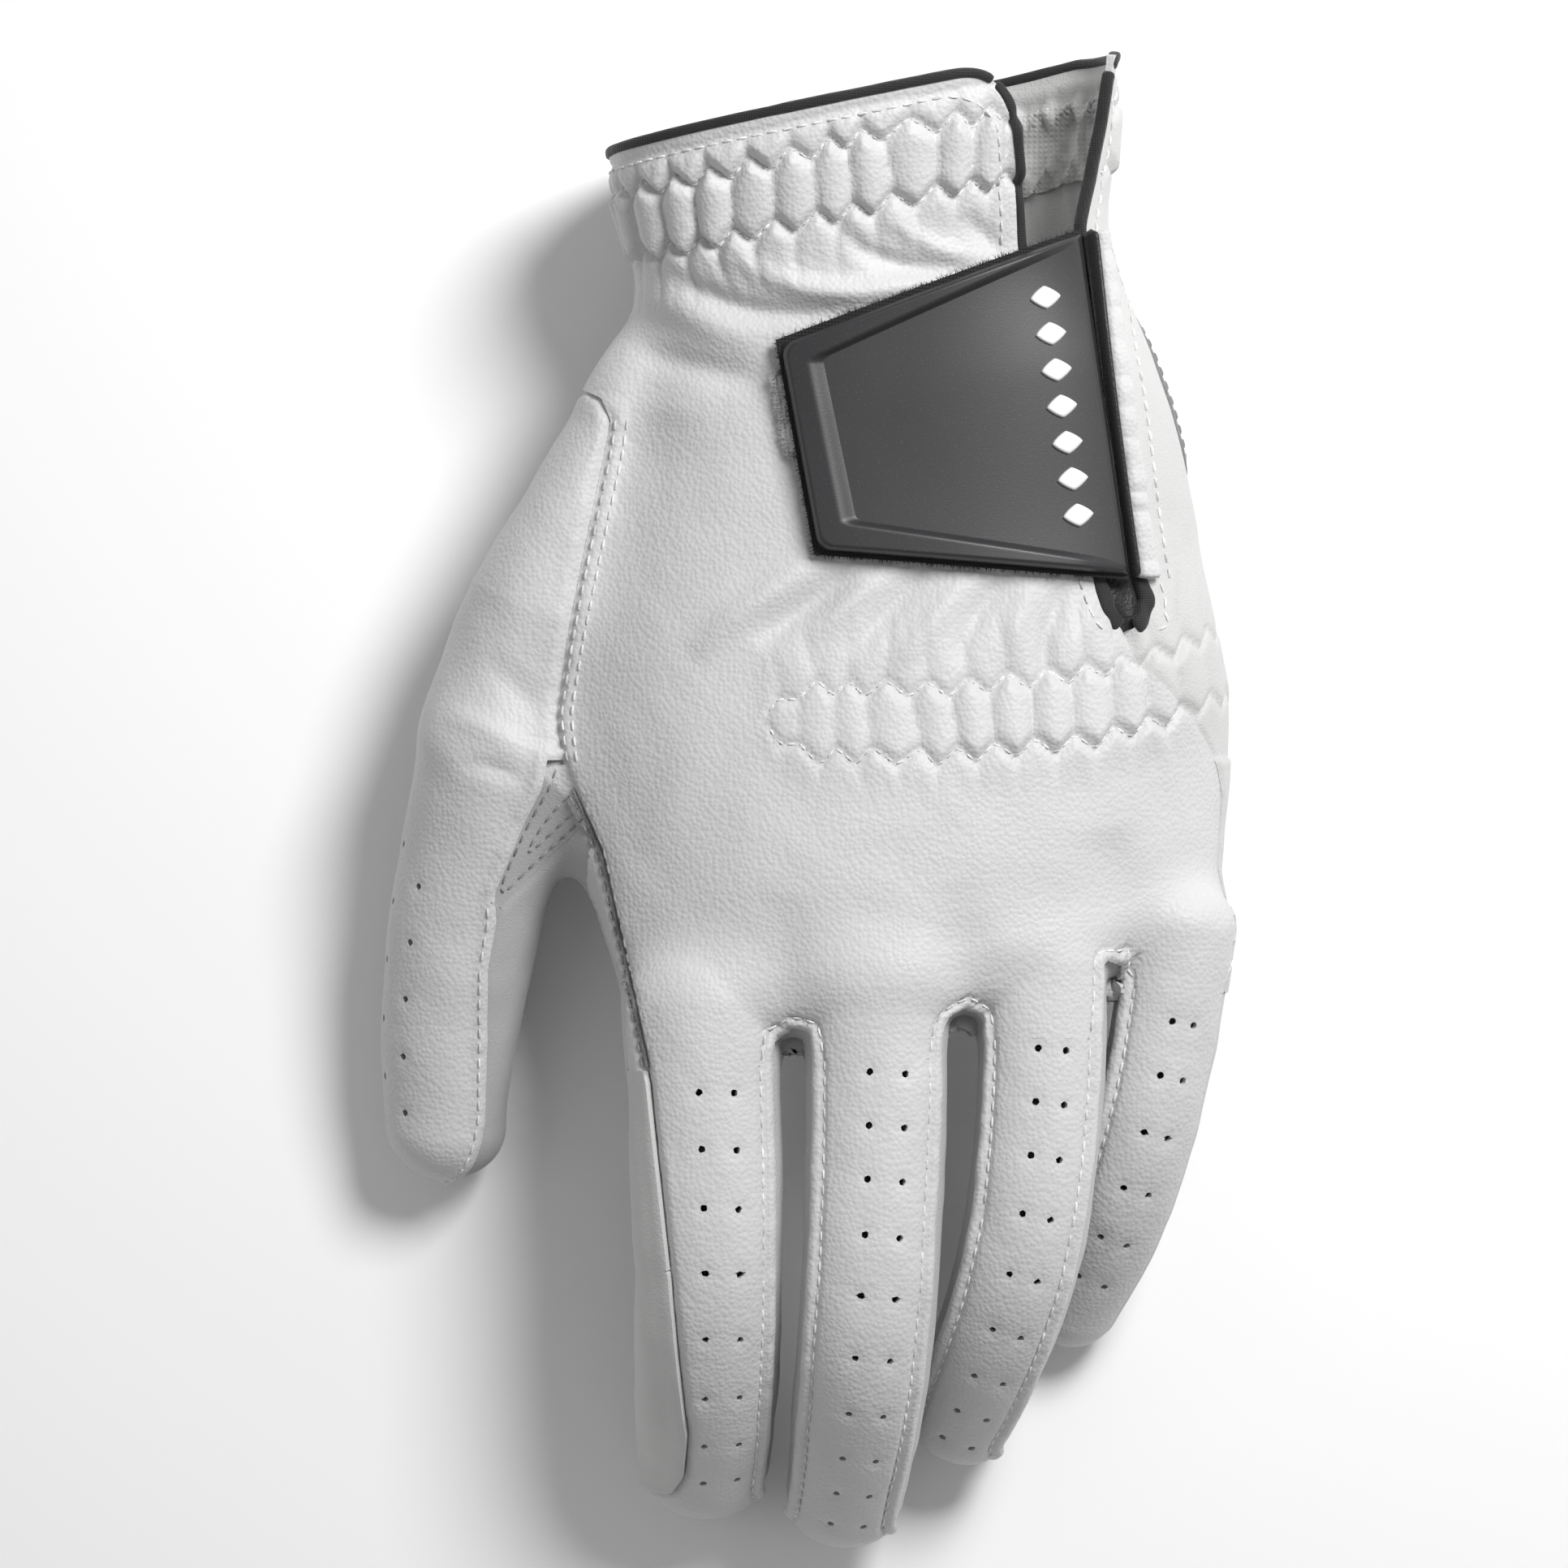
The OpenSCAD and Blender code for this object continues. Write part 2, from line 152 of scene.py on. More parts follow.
def hand_field(p):
    x, y, z = p.T
    v = hand_share(x, y)
    cx, cz, a, b, droop = hand_section(v)
    dx = x - cx
    dz = z - cz + droop * (x - ARCH_X) ** 2
    r = (np.abs(dx / a) ** SQUARENESS + np.abs(dz / b) ** SQUARENESS) ** (1 / SQUARENESS)
    d = np.hypot(dx, dz) * (1 - 1 / np.maximum(r, 0.05))
    return -soft_min(-d, (1 + WEB_REACH - v) * HAND_LENGTH, 4.0)


def hand_turn(p):
    """Angle round the hand's section, 90 on top, 0 at the little finger's side."""
    x, y, z = p.T
    cx, cz, a, b, droop = hand_section(hand_share(x, y))
    return np.degrees(np.arctan2((z - cz + droop * (x - ARCH_X) ** 2) / np.maximum(b, 1), (x - cx) / a)) % 360


# ---------------------------------------------------------------- form of the fingers and thumb

class Digit:
    """A tube along a curved centre line, with an egg-shaped tip."""

    def __init__(self, start, length, widths, heights, headings, pitches, curl, lead=0):
        count = 260
        self.length = length
        self.lead = lead
        self.s = np.linspace(-lead, length, count)
        step = self.s[1] - self.s[0]
        middle = self.s[:-1] + step / 2

        def direction(s):
            heading = np.radians(mix(*headings, smooth(s / length)))
            pitch = np.radians(mix(*pitches, smooth((s - curl[0]) / (curl[1] - curl[0]))))
            ahead = np.stack([np.sin(heading) * np.cos(pitch), -np.cos(heading) * np.cos(pitch),
                              -np.sin(pitch)], 1)
            return ahead, np.stack([np.cos(heading), np.sin(heading), 0 * heading], 1)

        run = np.vstack([[0, 0, 0], np.cumsum(direction(middle)[0] * step, axis=0)])
        zero = np.array([np.interp(0, self.s, run[:, i]) for i in range(3)])
        self.centre = np.array(start) + run - zero
        self.ahead, self.side = direction(self.s)
        self.up = np.cross(self.side, self.ahead) * -1
        self.up *= np.sign(self.up[:, 2:3])
        self.half_w = np.interp(self.s, np.linspace(0, length, len(widths)), widths) / 2
        self.half_h = np.interp(self.s, np.linspace(0, length, len(heights)), heights) / 2
        self.tip_r = self.half_w[-1] * 1.05
        reach = self.half_w.max() + 12
        self.low, self.high = self.centre.min(0) - reach, self.centre.max(0) + reach

    def at(self, table, s):
        return np.stack([np.interp(s, self.s, table[:, i]) for i in range(table.shape[1])], 1)

    def frame(self, s):
        flat = np.clip(s, -self.lead, self.length)
        half_w, half_h = np.interp(flat, self.s, self.half_w), np.interp(flat, self.s, self.half_h)
        return (self.at(self.centre, flat), self.at(self.ahead, flat), self.at(self.side, flat),
                self.at(self.up, flat), half_w, half_h)

    def nearest(self, p):
        """Distance along the centre line of the point nearest to each of p."""
        coarse = self.centre[::8]
        best = np.zeros(len(p))
        lowest = np.full(len(p), 1e9)
        for place, c in zip(self.s[::8], coarse):
            d = ((p - c) ** 2).sum(1)
            closer = d < lowest
            lowest[closer] = d[closer]
            best[closer] = place
        last = self.length - self.tip_r
        best = np.minimum(best, last)
        for _ in range(3):
            c, ahead = self.at(self.centre, best), self.at(self.ahead, best)
            best = np.clip(best + ((p - c) * ahead).sum(1), -self.lead, last)
        return best

    def field(self, p):
        """Distance to the tube; points far outside its box just count as far."""
        far = np.full(len(p), 1e3)
        close = ((p > self.low) & (p < self.high)).all(1)
        if close.any():
            far[close] = self.near_field(p[close])
        return far

    def near_field(self, p):
        s = self.nearest(p)
        c, ahead, side, up, a, b = self.frame(s)
        v = p - c
        x, z, t = (v * side).sum(1), (v * up).sum(1), (v * ahead).sum(1)
        r = np.sqrt((x / a) ** 2 + (z / b) ** 2 + (t / self.tip_r) ** 2)
        return np.sqrt(x * x + z * z + t * t) * (1 - 1 / np.maximum(r, 0.05))

    def ring(self, s, turn):
        """Points on the tube at distances s and angles turn, both arrays."""
        over = np.clip((s - self.length + self.tip_r) / self.tip_r, 0, 1)
        shrink = np.sqrt(np.maximum(1 - over**2, 0))
        c, ahead, side, up, a, b = self.frame(s)
        # Past the last full ring the centre line is straight, as the egg-shaped tip needs
        last = np.full_like(s, self.length - self.tip_r)
        cl, al, sl, ul, wl, hl = self.frame(last)
        tip = (s > last)[:, None]
        c = np.where(tip, cl + al * (s - last)[:, None], c)
        side, up = np.where(tip, sl, side), np.where(tip, ul, up)
        a, b = np.where(tip[:, 0], wl, a), np.where(tip[:, 0], hl, b)
        angle = np.radians(turn)
        return c + (a * shrink * np.cos(angle))[:, None] * side + (b * shrink * np.sin(angle))[:, None] * up


# Start of the centre line, length, widths and heights along it, headings in plan and pitches down
# at its two ends, and where the pitch starts and stops to change
DIGITS = {
    "index": Digit((-15.6, -31, 35.7), 88, widths=(24.4, 23.0, 20.6), heights=(19.6, 19, 17),
                   headings=(2.5, -3), pitches=(0, 50), curl=(24, 72)),
    "middle": Digit((10.4, -28.5, 37.9), 96, widths=(23.6, 22.2, 19.0), heights=(19.6, 19, 16.8),
                    headings=(0, -9), pitches=(0, 52), curl=(30, 80)),
    "ring": Digit((35.0, -24.5, 34), 87, widths=(21.4, 20.2, 16.8), heights=(18.6, 18, 15.2),
                  headings=(0.5, -24), pitches=(0, 50), curl=(26, 72)),
    "little": Digit((55.6, -19, 27.2), 72, widths=(17.4, 16.4, 14.4), heights=(16, 15.4, 13),
                    headings=(-6, -27), pitches=(6, 36), curl=(18, 56)),
    "thumb": Digit((-46, 6, 20), 66, widths=(26, 23, 17), heights=(24, 21, 15.5),
                   headings=(-15, -1), pitches=(14, 10), curl=(0, 40)),
}
# Where each stall leaves the hand's mesh, past its web
STALL_START = {"index": 9, "middle": 10, "ring": 11, "little": 9, "thumb": 18}
THUMB_SLANT = 6
FINGERS = ("index", "middle", "ring", "little")
FINGER_BLEND = 5.0
THUMB_BLEND = 12.0


def stall_cut(name, turn):
    """Distance along the digit of its cut from the hand; the thumb's cut is slanted."""
    slant = THUMB_SLANT * np.cos(np.radians(turn)) if name == "thumb" else 0
    return STALL_START[name] + slant


# The swell of the thumb's base, from the wrist to the thumb
THENAR = Digit((-30.5, 56, 22), 56, (10, 22, 26.5), (20, 26, 24), (-22, -16), (3, 10), (0, 56))


def thumb_field(p):
    return soft_min(DIGITS["thumb"].field(p), THENAR.field(p), 8.0)


def glove_field(p, only=None):
    """Distance to the glove's outer face; only one finger counts if only names it."""
    d = hand_field(p)
    near = np.full(len(p), 1e3)
    for name in FINGERS if only is None else (only,):
        if name in FINGERS:
            near = np.minimum(near, DIGITS[name].field(p))
    d = soft_min(d, near, FINGER_BLEND)
    if only in (None, "thumb"):
        d = soft_min(d, thumb_field(p), THUMB_BLEND)
    return d


def gradient(field, p, step=0.05):
    g = np.zeros_like(p)
    for i in range(3):
        e = np.zeros(3)
        e[i] = step
        g[:, i] = (field(p + e) - field(p - e)) / (2 * step)
    return g


def settle(field, p, rounds=2):
    """Move points onto the surface where the field is zero."""
    for _ in range(rounds):
        g = gradient(field, p)
        p = p - g * (field(p) / np.maximum((g * g).sum(1), 0.2))[:, None]
    return p


# ---------------------------------------------------------------- skins: meshes that panels are cut from

class Skin:
    """Triangles with a normal and named values at each vertex."""

    def __init__(self, points, faces, **values):
        self.p, self.f, self.values = points, faces, values

    def take(self, used):
        index = np.full(len(self.p), -1)
        index[used] = np.arange(used.sum())
        return index

    def normals(self):
        a, b, c = (self.p[self.f[:, i]] for i in range(3))
        face = np.cross(b - a, c - a)
        n = np.zeros_like(self.p)
        for i in range(3):
            for j in range(3):
                n[:, j] += np.bincount(self.f[:, i], face[:, j], len(self.p))
        return unit(n)

    def clip(self, keep):
        """The part where keep is positive, cut cleanly through the triangles it crosses."""
        inside = keep > 0
        count = inside[self.f].sum(1)
        faces = [self.f[count == 3]]
        pairs = []
        for wanted in (1, 2):
            tri = self.f[count == wanted]
            odd = inside[tri] if wanted == 1 else ~inside[tri]
            first = odd.argmax(1)
            turned = [np.take_along_axis(tri, ((first + k) % 3)[:, None], 1)[:, 0] for k in range(3)]
            tri = np.stack(turned, 1)
            pairs.append(tri)
        edges = np.vstack([np.sort(t[:, e], 1) for t in pairs for e in ((0, 1), (0, 2))])
        cuts, where = np.unique(edges, axis=0, return_inverse=True)
        where = where.reshape(-1)
        t = keep[cuts[:, 0]] / (keep[cuts[:, 0]] - keep[cuts[:, 1]]) if len(cuts) else np.zeros(0)
        where = where + len(self.p)
        n1, n2 = len(pairs[0]), len(pairs[1])
        ab1, ac1, ab2, ac2 = np.split(where, [n1, 2 * n1, 2 * n1 + n2])
        a, b = pairs
        faces.append(np.stack([a[:, 0], ab1, ac1], 1))
        faces.append(np.stack([ab2, b[:, 1], b[:, 2]], 1))
        faces.append(np.stack([ab2, b[:, 2], ac2], 1))

        def extended(values):
            t_shaped = t.reshape([-1] + [1] * (values.ndim - 1))
            return np.concatenate([values, mix(values[cuts[:, 0]], values[cuts[:, 1]], t_shaped)])

        whole = Skin(extended(self.p), np.vstack(faces), **{k: extended(v) for k, v in self.values.items()})
        return whole.tidied()

    def tidied(self):
        used = np.zeros(len(self.p), bool)
        used[self.f] = True
        index = self.take(used)
        return Skin(self.p[used], index[self.f], **{k: v[used] for k, v in self.values.items()})

    def rim(self):
        """Boundary edges, each in the direction that its face uses it."""
        e = np.vstack([self.f[:, [0, 1]], self.f[:, [1, 2]], self.f[:, [2, 0]]])
        key = np.sort(e, 1)
        _, where, times = np.unique(key, axis=0, return_inverse=True, return_counts=True)
        return e[times[where.reshape(-1)] == 1]


def mesh_object(name, points, faces, material, body, replaces=(), slot=None, smooth_faces=True):
    mesh = bpy.data.meshes.new(name)
    points = np.array(points, float)
    # Leather that would reach below the floor lies flat on it
    points[:, 2] = np.maximum(points[:, 2], 0)
    mesh.from_pydata((points * MM).tolist(), [], [list(map(int, f)) for f in faces])
    mesh.update()
    if smooth_faces:
        mesh.shade_smooth()
    obj = bpy.data.objects.new(name, mesh)
    bpy.context.scene.collection.objects.link(obj)
    mesh.materials.append(material)
    if body:
        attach(obj, body)
    if replaces:
        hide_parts(*replaces)
    return obj


def thickened(name, skin, thickness, material, body, **words):
    """A panel of leather: the skin, the same skin inset by its thickness, and a wall along its edge."""
    n = skin.values["normal"]
    count = len(skin.p)
    rim = skin.rim()
    a, b = rim.T
    wall = np.vstack([np.stack([b, a, a + count], 1), np.stack([b, a + count, b + count], 1)])
    faces = np.vstack([skin.f, skin.f[:, ::-1] + count, wall])
    points = np.vstack([skin.p, skin.p - n * np.reshape(thickness, (-1, 1))])
    obj = mesh_object(name, points, faces, material, body, **words)
    loops = np.vstack([n[skin.f].reshape(-1, 3), -n[skin.f[:, ::-1]].reshape(-1, 3)])
    wa, wb, wc = (points[wall[:, i]] for i in range(3))
    flat = unit(np.cross(wb - wa, wc - wa))
    loops = np.vstack([loops, np.repeat(flat, 3, axis=0)])
    obj.data.normals_split_custom_set(loops.tolist())
    return obj


def grid_faces(rows, cols, closed):
    """Two triangles for each cell of a grid of points; closed joins the last column to the first."""
    r = np.arange(rows - 1)[:, None]
    c = np.arange(cols if closed else cols - 1)[None, :]
    p = r * cols + c
    q = r * cols + (c + 1) % cols
    faces = [np.stack([p, q + cols, p + cols], -1), np.stack([p, q, q + cols], -1)]
    return np.concatenate([f.reshape(-1, 3) for f in faces])


STALL_CELL = 0.5
STALL_COLUMNS = 128


def stall_skin(name):
    """The whole tube of one finger or the thumb, from just before its cut on the hand to its tip."""
    d = DIGITS[name]
    start = STALL_START[name] - CUT_MARGIN - (THUMB_SLANT if name == "thumb" else 0)
    last = d.length - d.tip_r
    along = np.linspace(start, last, int((last - start) / STALL_CELL))
    tip = last + d.tip_r * np.sin(np.radians(np.linspace(4, 88, 20)))
    s = np.concatenate([along, tip])
    turn = np.arange(STALL_COLUMNS) * 360 / STALL_COLUMNS
    ss, tt = (a.reshape(-1) for a in np.meshgrid(s, turn, indexing="ij"))
    p = d.ring(ss, tt)
    rooted = ss < start + 30

    def field(q):
        return glove_field(q, only=name)

    p[rooted] = settle(field, p[rooted])
    place = d.nearest(p[rooted])
    c, ahead, side, up, a, b = d.frame(place)
    v = p[rooted] - c
    ss[rooted] = place
    tt[rooted] = np.degrees(np.arctan2((v * up).sum(1) / b, (v * side).sum(1) / a)) % 360
    faces = grid_faces(len(s), STALL_COLUMNS, True)
    pole = d.ring(np.array([d.length]), np.zeros(1))
    ring = (len(s) - 1) * STALL_COLUMNS + np.arange(STALL_COLUMNS)
    faces = np.vstack([faces, np.stack([ring, np.roll(ring, -1), np.full(STALL_COLUMNS, len(p))], 1)])
    return Skin(np.vstack([p, pole]), faces, s=np.append(ss, d.length), turn=np.append(tt, 90.0))


HAND_CELL = 0.6
HAND_LOW, HAND_HIGH = np.array([-68, -52, -4.0]), np.array([69, 118, 55.0])
BAND = 1.6
CUT_MARGIN = 2.0


def grid_points(low, cell, counts, chosen=None):
    if chosen is None:
        chosen = np.arange(np.prod(counts))
    return low + cell * np.stack(np.unravel_index(chosen, counts), 1)


def hand_skin():
    """The hand's surface with the beginnings of the fingers and thumb, cut where the stalls take over."""
    coarse_cell = HAND_CELL * 4
    coarse_counts = np.ceil((HAND_HIGH - HAND_LOW) / coarse_cell).astype(int) + 1
    coarse = glove_field(grid_points(HAND_LOW, coarse_cell, coarse_counts)).reshape(coarse_counts)
    fine = coarse
    for axis in range(3):
        count = (coarse_counts[axis] - 1) * 4 + 1
        place = np.arange(count) / 4
        k = np.minimum(place.astype(int), coarse_counts[axis] - 2)
        shape = [1, 1, 1]
        shape[axis] = -1
        t = (place - k).reshape(shape)
        fine = np.take(fine, k, axis) * (1 - t) + np.take(fine, k + 1, axis) * t
    near = np.flatnonzero(np.abs(fine) < BAND + 1)
    flat = fine.reshape(-1)
    flat[near] = glove_field(grid_points(HAND_LOW, HAND_CELL, fine.shape, near))
    volume = openvdb.FloatGrid(3.0)
    volume.copyFromArray(np.clip(flat.reshape(fine.shape), -3, 3).astype(np.float32))
    points, quads = volume.convertToQuads(0.0)
    quads = quads[:, ::-1].astype(int)
    faces = np.vstack([quads[:, [0, 1, 2]], quads[:, [0, 2, 3]]])
    p = HAND_LOW + HAND_CELL * points.astype(float)
    skin = Skin(p, faces)
    if (skin.normals()[:, 2] * (p[:, 2] - 25)).sum() < 0:
        skin.f = skin.f[:, ::-1]
    names = list(DIGITS)
    fields = np.stack([thumb_field(p) if n == "thumb" else DIGITS[n].field(p) for n in names], 1)
    nearest = fields.argmin(1)
    keep = np.full(len(p), 5.0)
    place = np.full(len(p), -30.0)
    turn = np.full(len(p), 90.0)
    for i, n in enumerate(names):
        d = DIGITS[n]
        mine = np.flatnonzero((nearest == i) & (fields[:, i] < 9))
        s = d.nearest(p[mine])
        c, ahead, side, up, a, b = d.frame(s)
        v = p[mine] - c
        beyond = (v * ahead).sum(1)
        place[mine] = s + np.minimum(beyond, 0)
        turn[mine] = np.degrees(np.arctan2((v * up).sum(1) / b, (v * side).sum(1) / a)) % 360
        keep[mine] = stall_cut(n, turn[mine]) - s
    keep = np.clip(keep, -5, 5)
    skin.values = {"s": place, "turn": turn, "digit": nearest.astype(float), "keep": keep}
    return skin.clip(keep + CUT_MARGIN)
# ---------------------------------------------------------------- seams, as lines in plan: (y, x)

# The seam from the wrist to the thumb's web, and on along the index finger's raw edge
RADIAL_LINE = [(-104, -26), (-102.4, -22.8), (-101.2, -21.3), (-95.7, -18.4), (-89.6, -17.9), (-79.8, -19.5),
               (-60.3, -21.9), (-42, -23.9), (-23.7, -27.6), (-7.9, -31.2), (4.3, -36.6), (12.9, -37.8),
               (25.1, -35.9), (37.3, -33.5), (51.9, -30.4), (57, -29.6), (60.5, -31), (64, -36)]
# Where the thumb's leather meets the palm, underneath
UNDER_LINE = [(-6, -38), (-2, -31), (6, -22), (18, -15), (32, -13.5), (46, -18), (56, -25), (62, -31)]
SLIT_LEFT = [(24, 47.6), (25.3, 47.3), (28.5, 45), (33.4, 43.4), (50, 40), (65, 36.5), (82.2, 32.1),
             (101.9, 30.6), (108.6, 28.6), (113, 28)]
SLIT_RIGHT = [(24, 47.6), (25.3, 48.2), (27, 50.2), (30, 51), (34.5, 49.6), (60, 45.6), (84.4, 41.9)]
# Near the cuff the slit's palm edge is at the silhouette, so it is given as an angle along the hand
SLIT_TURN = [(0, 19), (0.08, 21), (0.14, 26), (0.19, 33), (0.37, 39.5), (0.56, 41.5)]
SLIT_FOOT = 24.6
ULNAR_TURN = 13
FOOT_TURN = 47
SIDE_LIMIT = math.sin(math.radians(32))


def line_x(line, y):
    ys, xs = zip(*line)
    return np.interp(y, ys, xs)


# ---------------------------------------------------------------- relief of the leather

def triangle_wave(u, pitch):
    """1 at multiples of the pitch and -1 half way between them."""
    return 4 * np.abs((u / pitch) % 1 - 0.5) - 1


def section_arc(v, turn):
    """Distance round the hand's section at v, from its top towards the little finger, for angles turn."""
    angle = np.radians(np.linspace(0, 360, 361))
    _, _, a, b, _ = (s[0] for s in hand_section(np.array([v])))
    r = (np.abs(np.cos(angle)) ** SQUARENESS + np.abs(np.sin(angle)) ** SQUARENESS) ** (-1 / SQUARENESS)
    x, z = a * r * np.cos(angle), b * r * np.sin(angle)
    arc = np.concatenate([[0], np.cumsum(np.hypot(np.diff(x), np.diff(z)))])
    return arc[90] - np.interp(turn, np.degrees(angle), arc)


def cell_size(number, seed):
    """A repeatable share from 0 to 1 for each whole number."""
    return (np.sin(number * 12.9898 + seed) * 43758.5453) % 1


def gathers(u, w, half, pitch, zig, above, below):
    """Leather sewn down along two zigzag lines, half to each side of w = 0.

    Returns the height of the puffs from 0 to 1 and the distance to the nearest zigzag line.
    """
    wave = zig * triangle_wave(u, pitch)
    up, down = w - half - wave, -w - half - wave
    inner = np.minimum(-up, -down)
    cell = np.abs(np.cos(np.pi * u / pitch))
    fan = np.abs(np.sin(np.pi * u / pitch))
    puff = cell**0.55 * smooth((inner + 0.3) / 2.3) * mix(0.75, 1.15, cell_size(np.round(u / pitch), 1))
    teeth = fan**0.7 * mix(0.6, 1.2, cell_size(np.floor(u / pitch), 2))
    over = teeth * smooth((up + 0.2) / 2.4) * (1 - smooth(up / above - 0.4))
    under = teeth * smooth((down + 0.2) / 2.4) * (1 - smooth(down / below))
    height = np.where(inner > 0, puff, np.where(up > 0, over, under))
    height = np.where(inner > 0, height, 0.72 * height)
    return height, np.minimum(np.abs(up), np.abs(down))


# Middle of the cuff's gathers below its edge, half the gap between their two zigzag lines, the
# zigzag's pitch along the lines and its height; then the same for the knuckles
CUFF_BAND = 12
CUFF_HALF = 4.8
CUFF_PITCH = 6.0
CUFF_ZIG = 1.45
KNUCKLE_PITCH = 5.7
KNUCKLE_ZIG = 1.4
KNUCKLE_BAND = [(-8, 12), (2, 11.7), (19, 11.3), (42, 14), (54, 17.5), (62, 20)]


def cuff_coordinates(p, turn):
    e = cuff_edge(p[:, 0]) - p[:, 1]
    w = CUFF_BAND - e
    w = w + 0.7 * noise3(p, 14, 12) + 0.3 * noise3(p, 6, 13)
    u = section_arc(0.09, turn) + 1.3 * noise3(p, 10, 3) + 1.6 * noise3(p, 13, 4) * smooth((-w - 6) / 9)
    return u, w


def knuckle_coordinates(p, turn):
    x, y = p[:, 0], p[:, 1]
    w = y - np.interp(x, *zip(*KNUCKLE_BAND))
    w = w + 0.5 * noise3(p, 13, 14)
    u = section_arc(0.68, turn) + 1.0 * noise3(p, 9, 5) + 1.4 * noise3(p, 11, 6) * smooth((np.abs(w) - 6) / 6)
    return u, w


def knuckle_half(x):
    return 0.4 + 4.6 * smooth((x + 7.5) / 8)


# Creases and ridges of the loose leather: places in plan, height (down is negative) and width
FOLDS = [
    ([(-27, 68.5), (-21, 66), (-12, 63.5), (-5, 62.5)], -1.2, 2.2),
    ([(-27, 76.8), (-20.3, 74), (-12, 69.8), (-5, 67.5)], 1.1, 2.6),
    ([(-22, 80.5), (-16, 76), (-10, 73.3), (-2.2, 72.4), (8, 73)], -1.6, 1.7),
    ([(-12, 82.5), (-4.6, 77.8), (4, 75.8), (15, 76.8), (25, 79.4)], 1.7, 1.8),
    ([(3, 87), (9, 81.6), (17, 79), (25, 79.5)], -1.5, 1.4),
    ([(10, 88.5), (18, 82.8), (28, 80)], 1.0, 1.5),
    ([(23, 87.5), (29.5, 81)], -1.3, 1.5),
    ([(-26, 60), (-20, 58.5), (-13, 59)], 0.6, 2.6),
    ([(3, 37), (-4, 32), (-12, 26), (-17, 21)], 1.5, 2.3),
    ([(7, 34.5), (0, 29), (-8, 23)], -1.5, 2.0),
    ([(13, 35), (7, 30), (0, 23.5)], 1.0, 1.8),
    ([(18, 34.5), (12, 28), (6, 21)], -1.1, 1.9),
    ([(25, 34.5), (19, 27), (14, 20)], 1.0, 2.0),
    ([(30, 34), (25, 27), (22, 20)], -0.9, 1.6),
    ([(34, 33), (31, 26), (30, 19)], 0.9, 1.8),
    ([(38.5, 33), (36, 25), (35, 18)], -1.1, 1.4),
    ([(43, 31), (40.5, 24), (40, 18)], 0.8, 1.4),
    ([(45.5, 29.5), (48, 24.5), (49.5, 19)], -1.5, 1.3),
    ([(-40.5, 6.2), (-47, 10), (-55, 13.5)], 0.8, 1.9),
    ([(-41, 2.6), (-47, 4.6), (-53, 6)], -0.8, 1.6),
    ([(-38, 10), (-44, 17), (-49, 22)], -0.5, 2.0),
    ([(-3, -14), (-4, -24), (-3, -31)], -0.8, 4.5),
    ([(22, -12), (22.5, -22), (24, -29)], -0.8, 4.2),
    ([(45, -4), (46, -12), (46.5, -19)], -0.7, 3.5),
    ([(-25, -8), (-19, 2), (-14, 12)], 0.5, 3.5),
]


FOLD_STEPS = 64


def fold_height(xy, places, height, width):
    """A ridge along a line through the places, fading at both ends."""
    places = np.asarray(places, float)
    lengths = np.hypot(*np.diff(places, axis=0).T)
    along = np.concatenate([[0], np.cumsum(lengths)])
    fine = np.linspace(0, along[-1], FOLD_STEPS + 1)
    line = np.stack([curve_through(along, places[:, i], fine) for i in range(2)], 1)
    near = ((xy > line.min(0) - 3 * width) & (xy < line.max(0) + 3 * width)).all(1)
    total = np.zeros(len(xy))
    gap = ((xy[near][:, None] - line[None]) ** 2).sum(2)
    first = gap.argmin(1)
    ends = np.sin(np.pi * first / FOLD_STEPS)
    total[near] = height * np.exp(-gap.min(1) / width**2) * ends
    return total


def hand_relief(p, n, turn):
    """Height of the gathers and folds over the smooth form of the hand."""
    x, y = p[:, 0], p[:, 1]
    top = smooth(n[:, 2] * 3 + 0.6)
    total = np.zeros(len(p))
    cuff = np.flatnonzero(y > 60)
    u, w = cuff_coordinates(p[cuff], turn[cuff])
    height, line = gathers(u, w, CUFF_HALF, CUFF_PITCH, CUFF_ZIG, 5.5, 12)
    calm = 1 - smooth((w - 7.6) / 2)
    total[cuff] += calm * (1.75 * height - 0.45 * bump(line, 0.45)) - 0.25 * bump(w - 9.5, 0.5)
    band = np.flatnonzero((y > -14) & (y < 42) & (x > -12) & (n[:, 2] > -0.35))
    u, w = knuckle_coordinates(p[band], turn[band])
    height, line = gathers(u, w, knuckle_half(x[band]), KNUCKLE_PITCH, KNUCKLE_ZIG, 10, 8)
    strength = mix(0.5, 1.5, smooth((x[band] + 4) / 46)) * smooth((x[band] + 8) / 4)
    strength *= smooth(n[band, 2] * 3 + 1)
    strength *= 1 - 0.75 * smooth((x[band] - 53) / 8)
    total[band] += strength * height - 0.35 * bump(line, 0.4) * smooth((x[band] + 7) / 2)
    for places, height, width in FOLDS:
        total += top * fold_height(p[:, :2], places, height, width)
    low = 0.55 * noise3(p, 21, 7) + 0.3 * noise3(p, 9, 8) + 0.12 * noise3(p, 4.2, 9)
    return total + low * 0.8


# ---------------------------------------------------------------- distances from seams

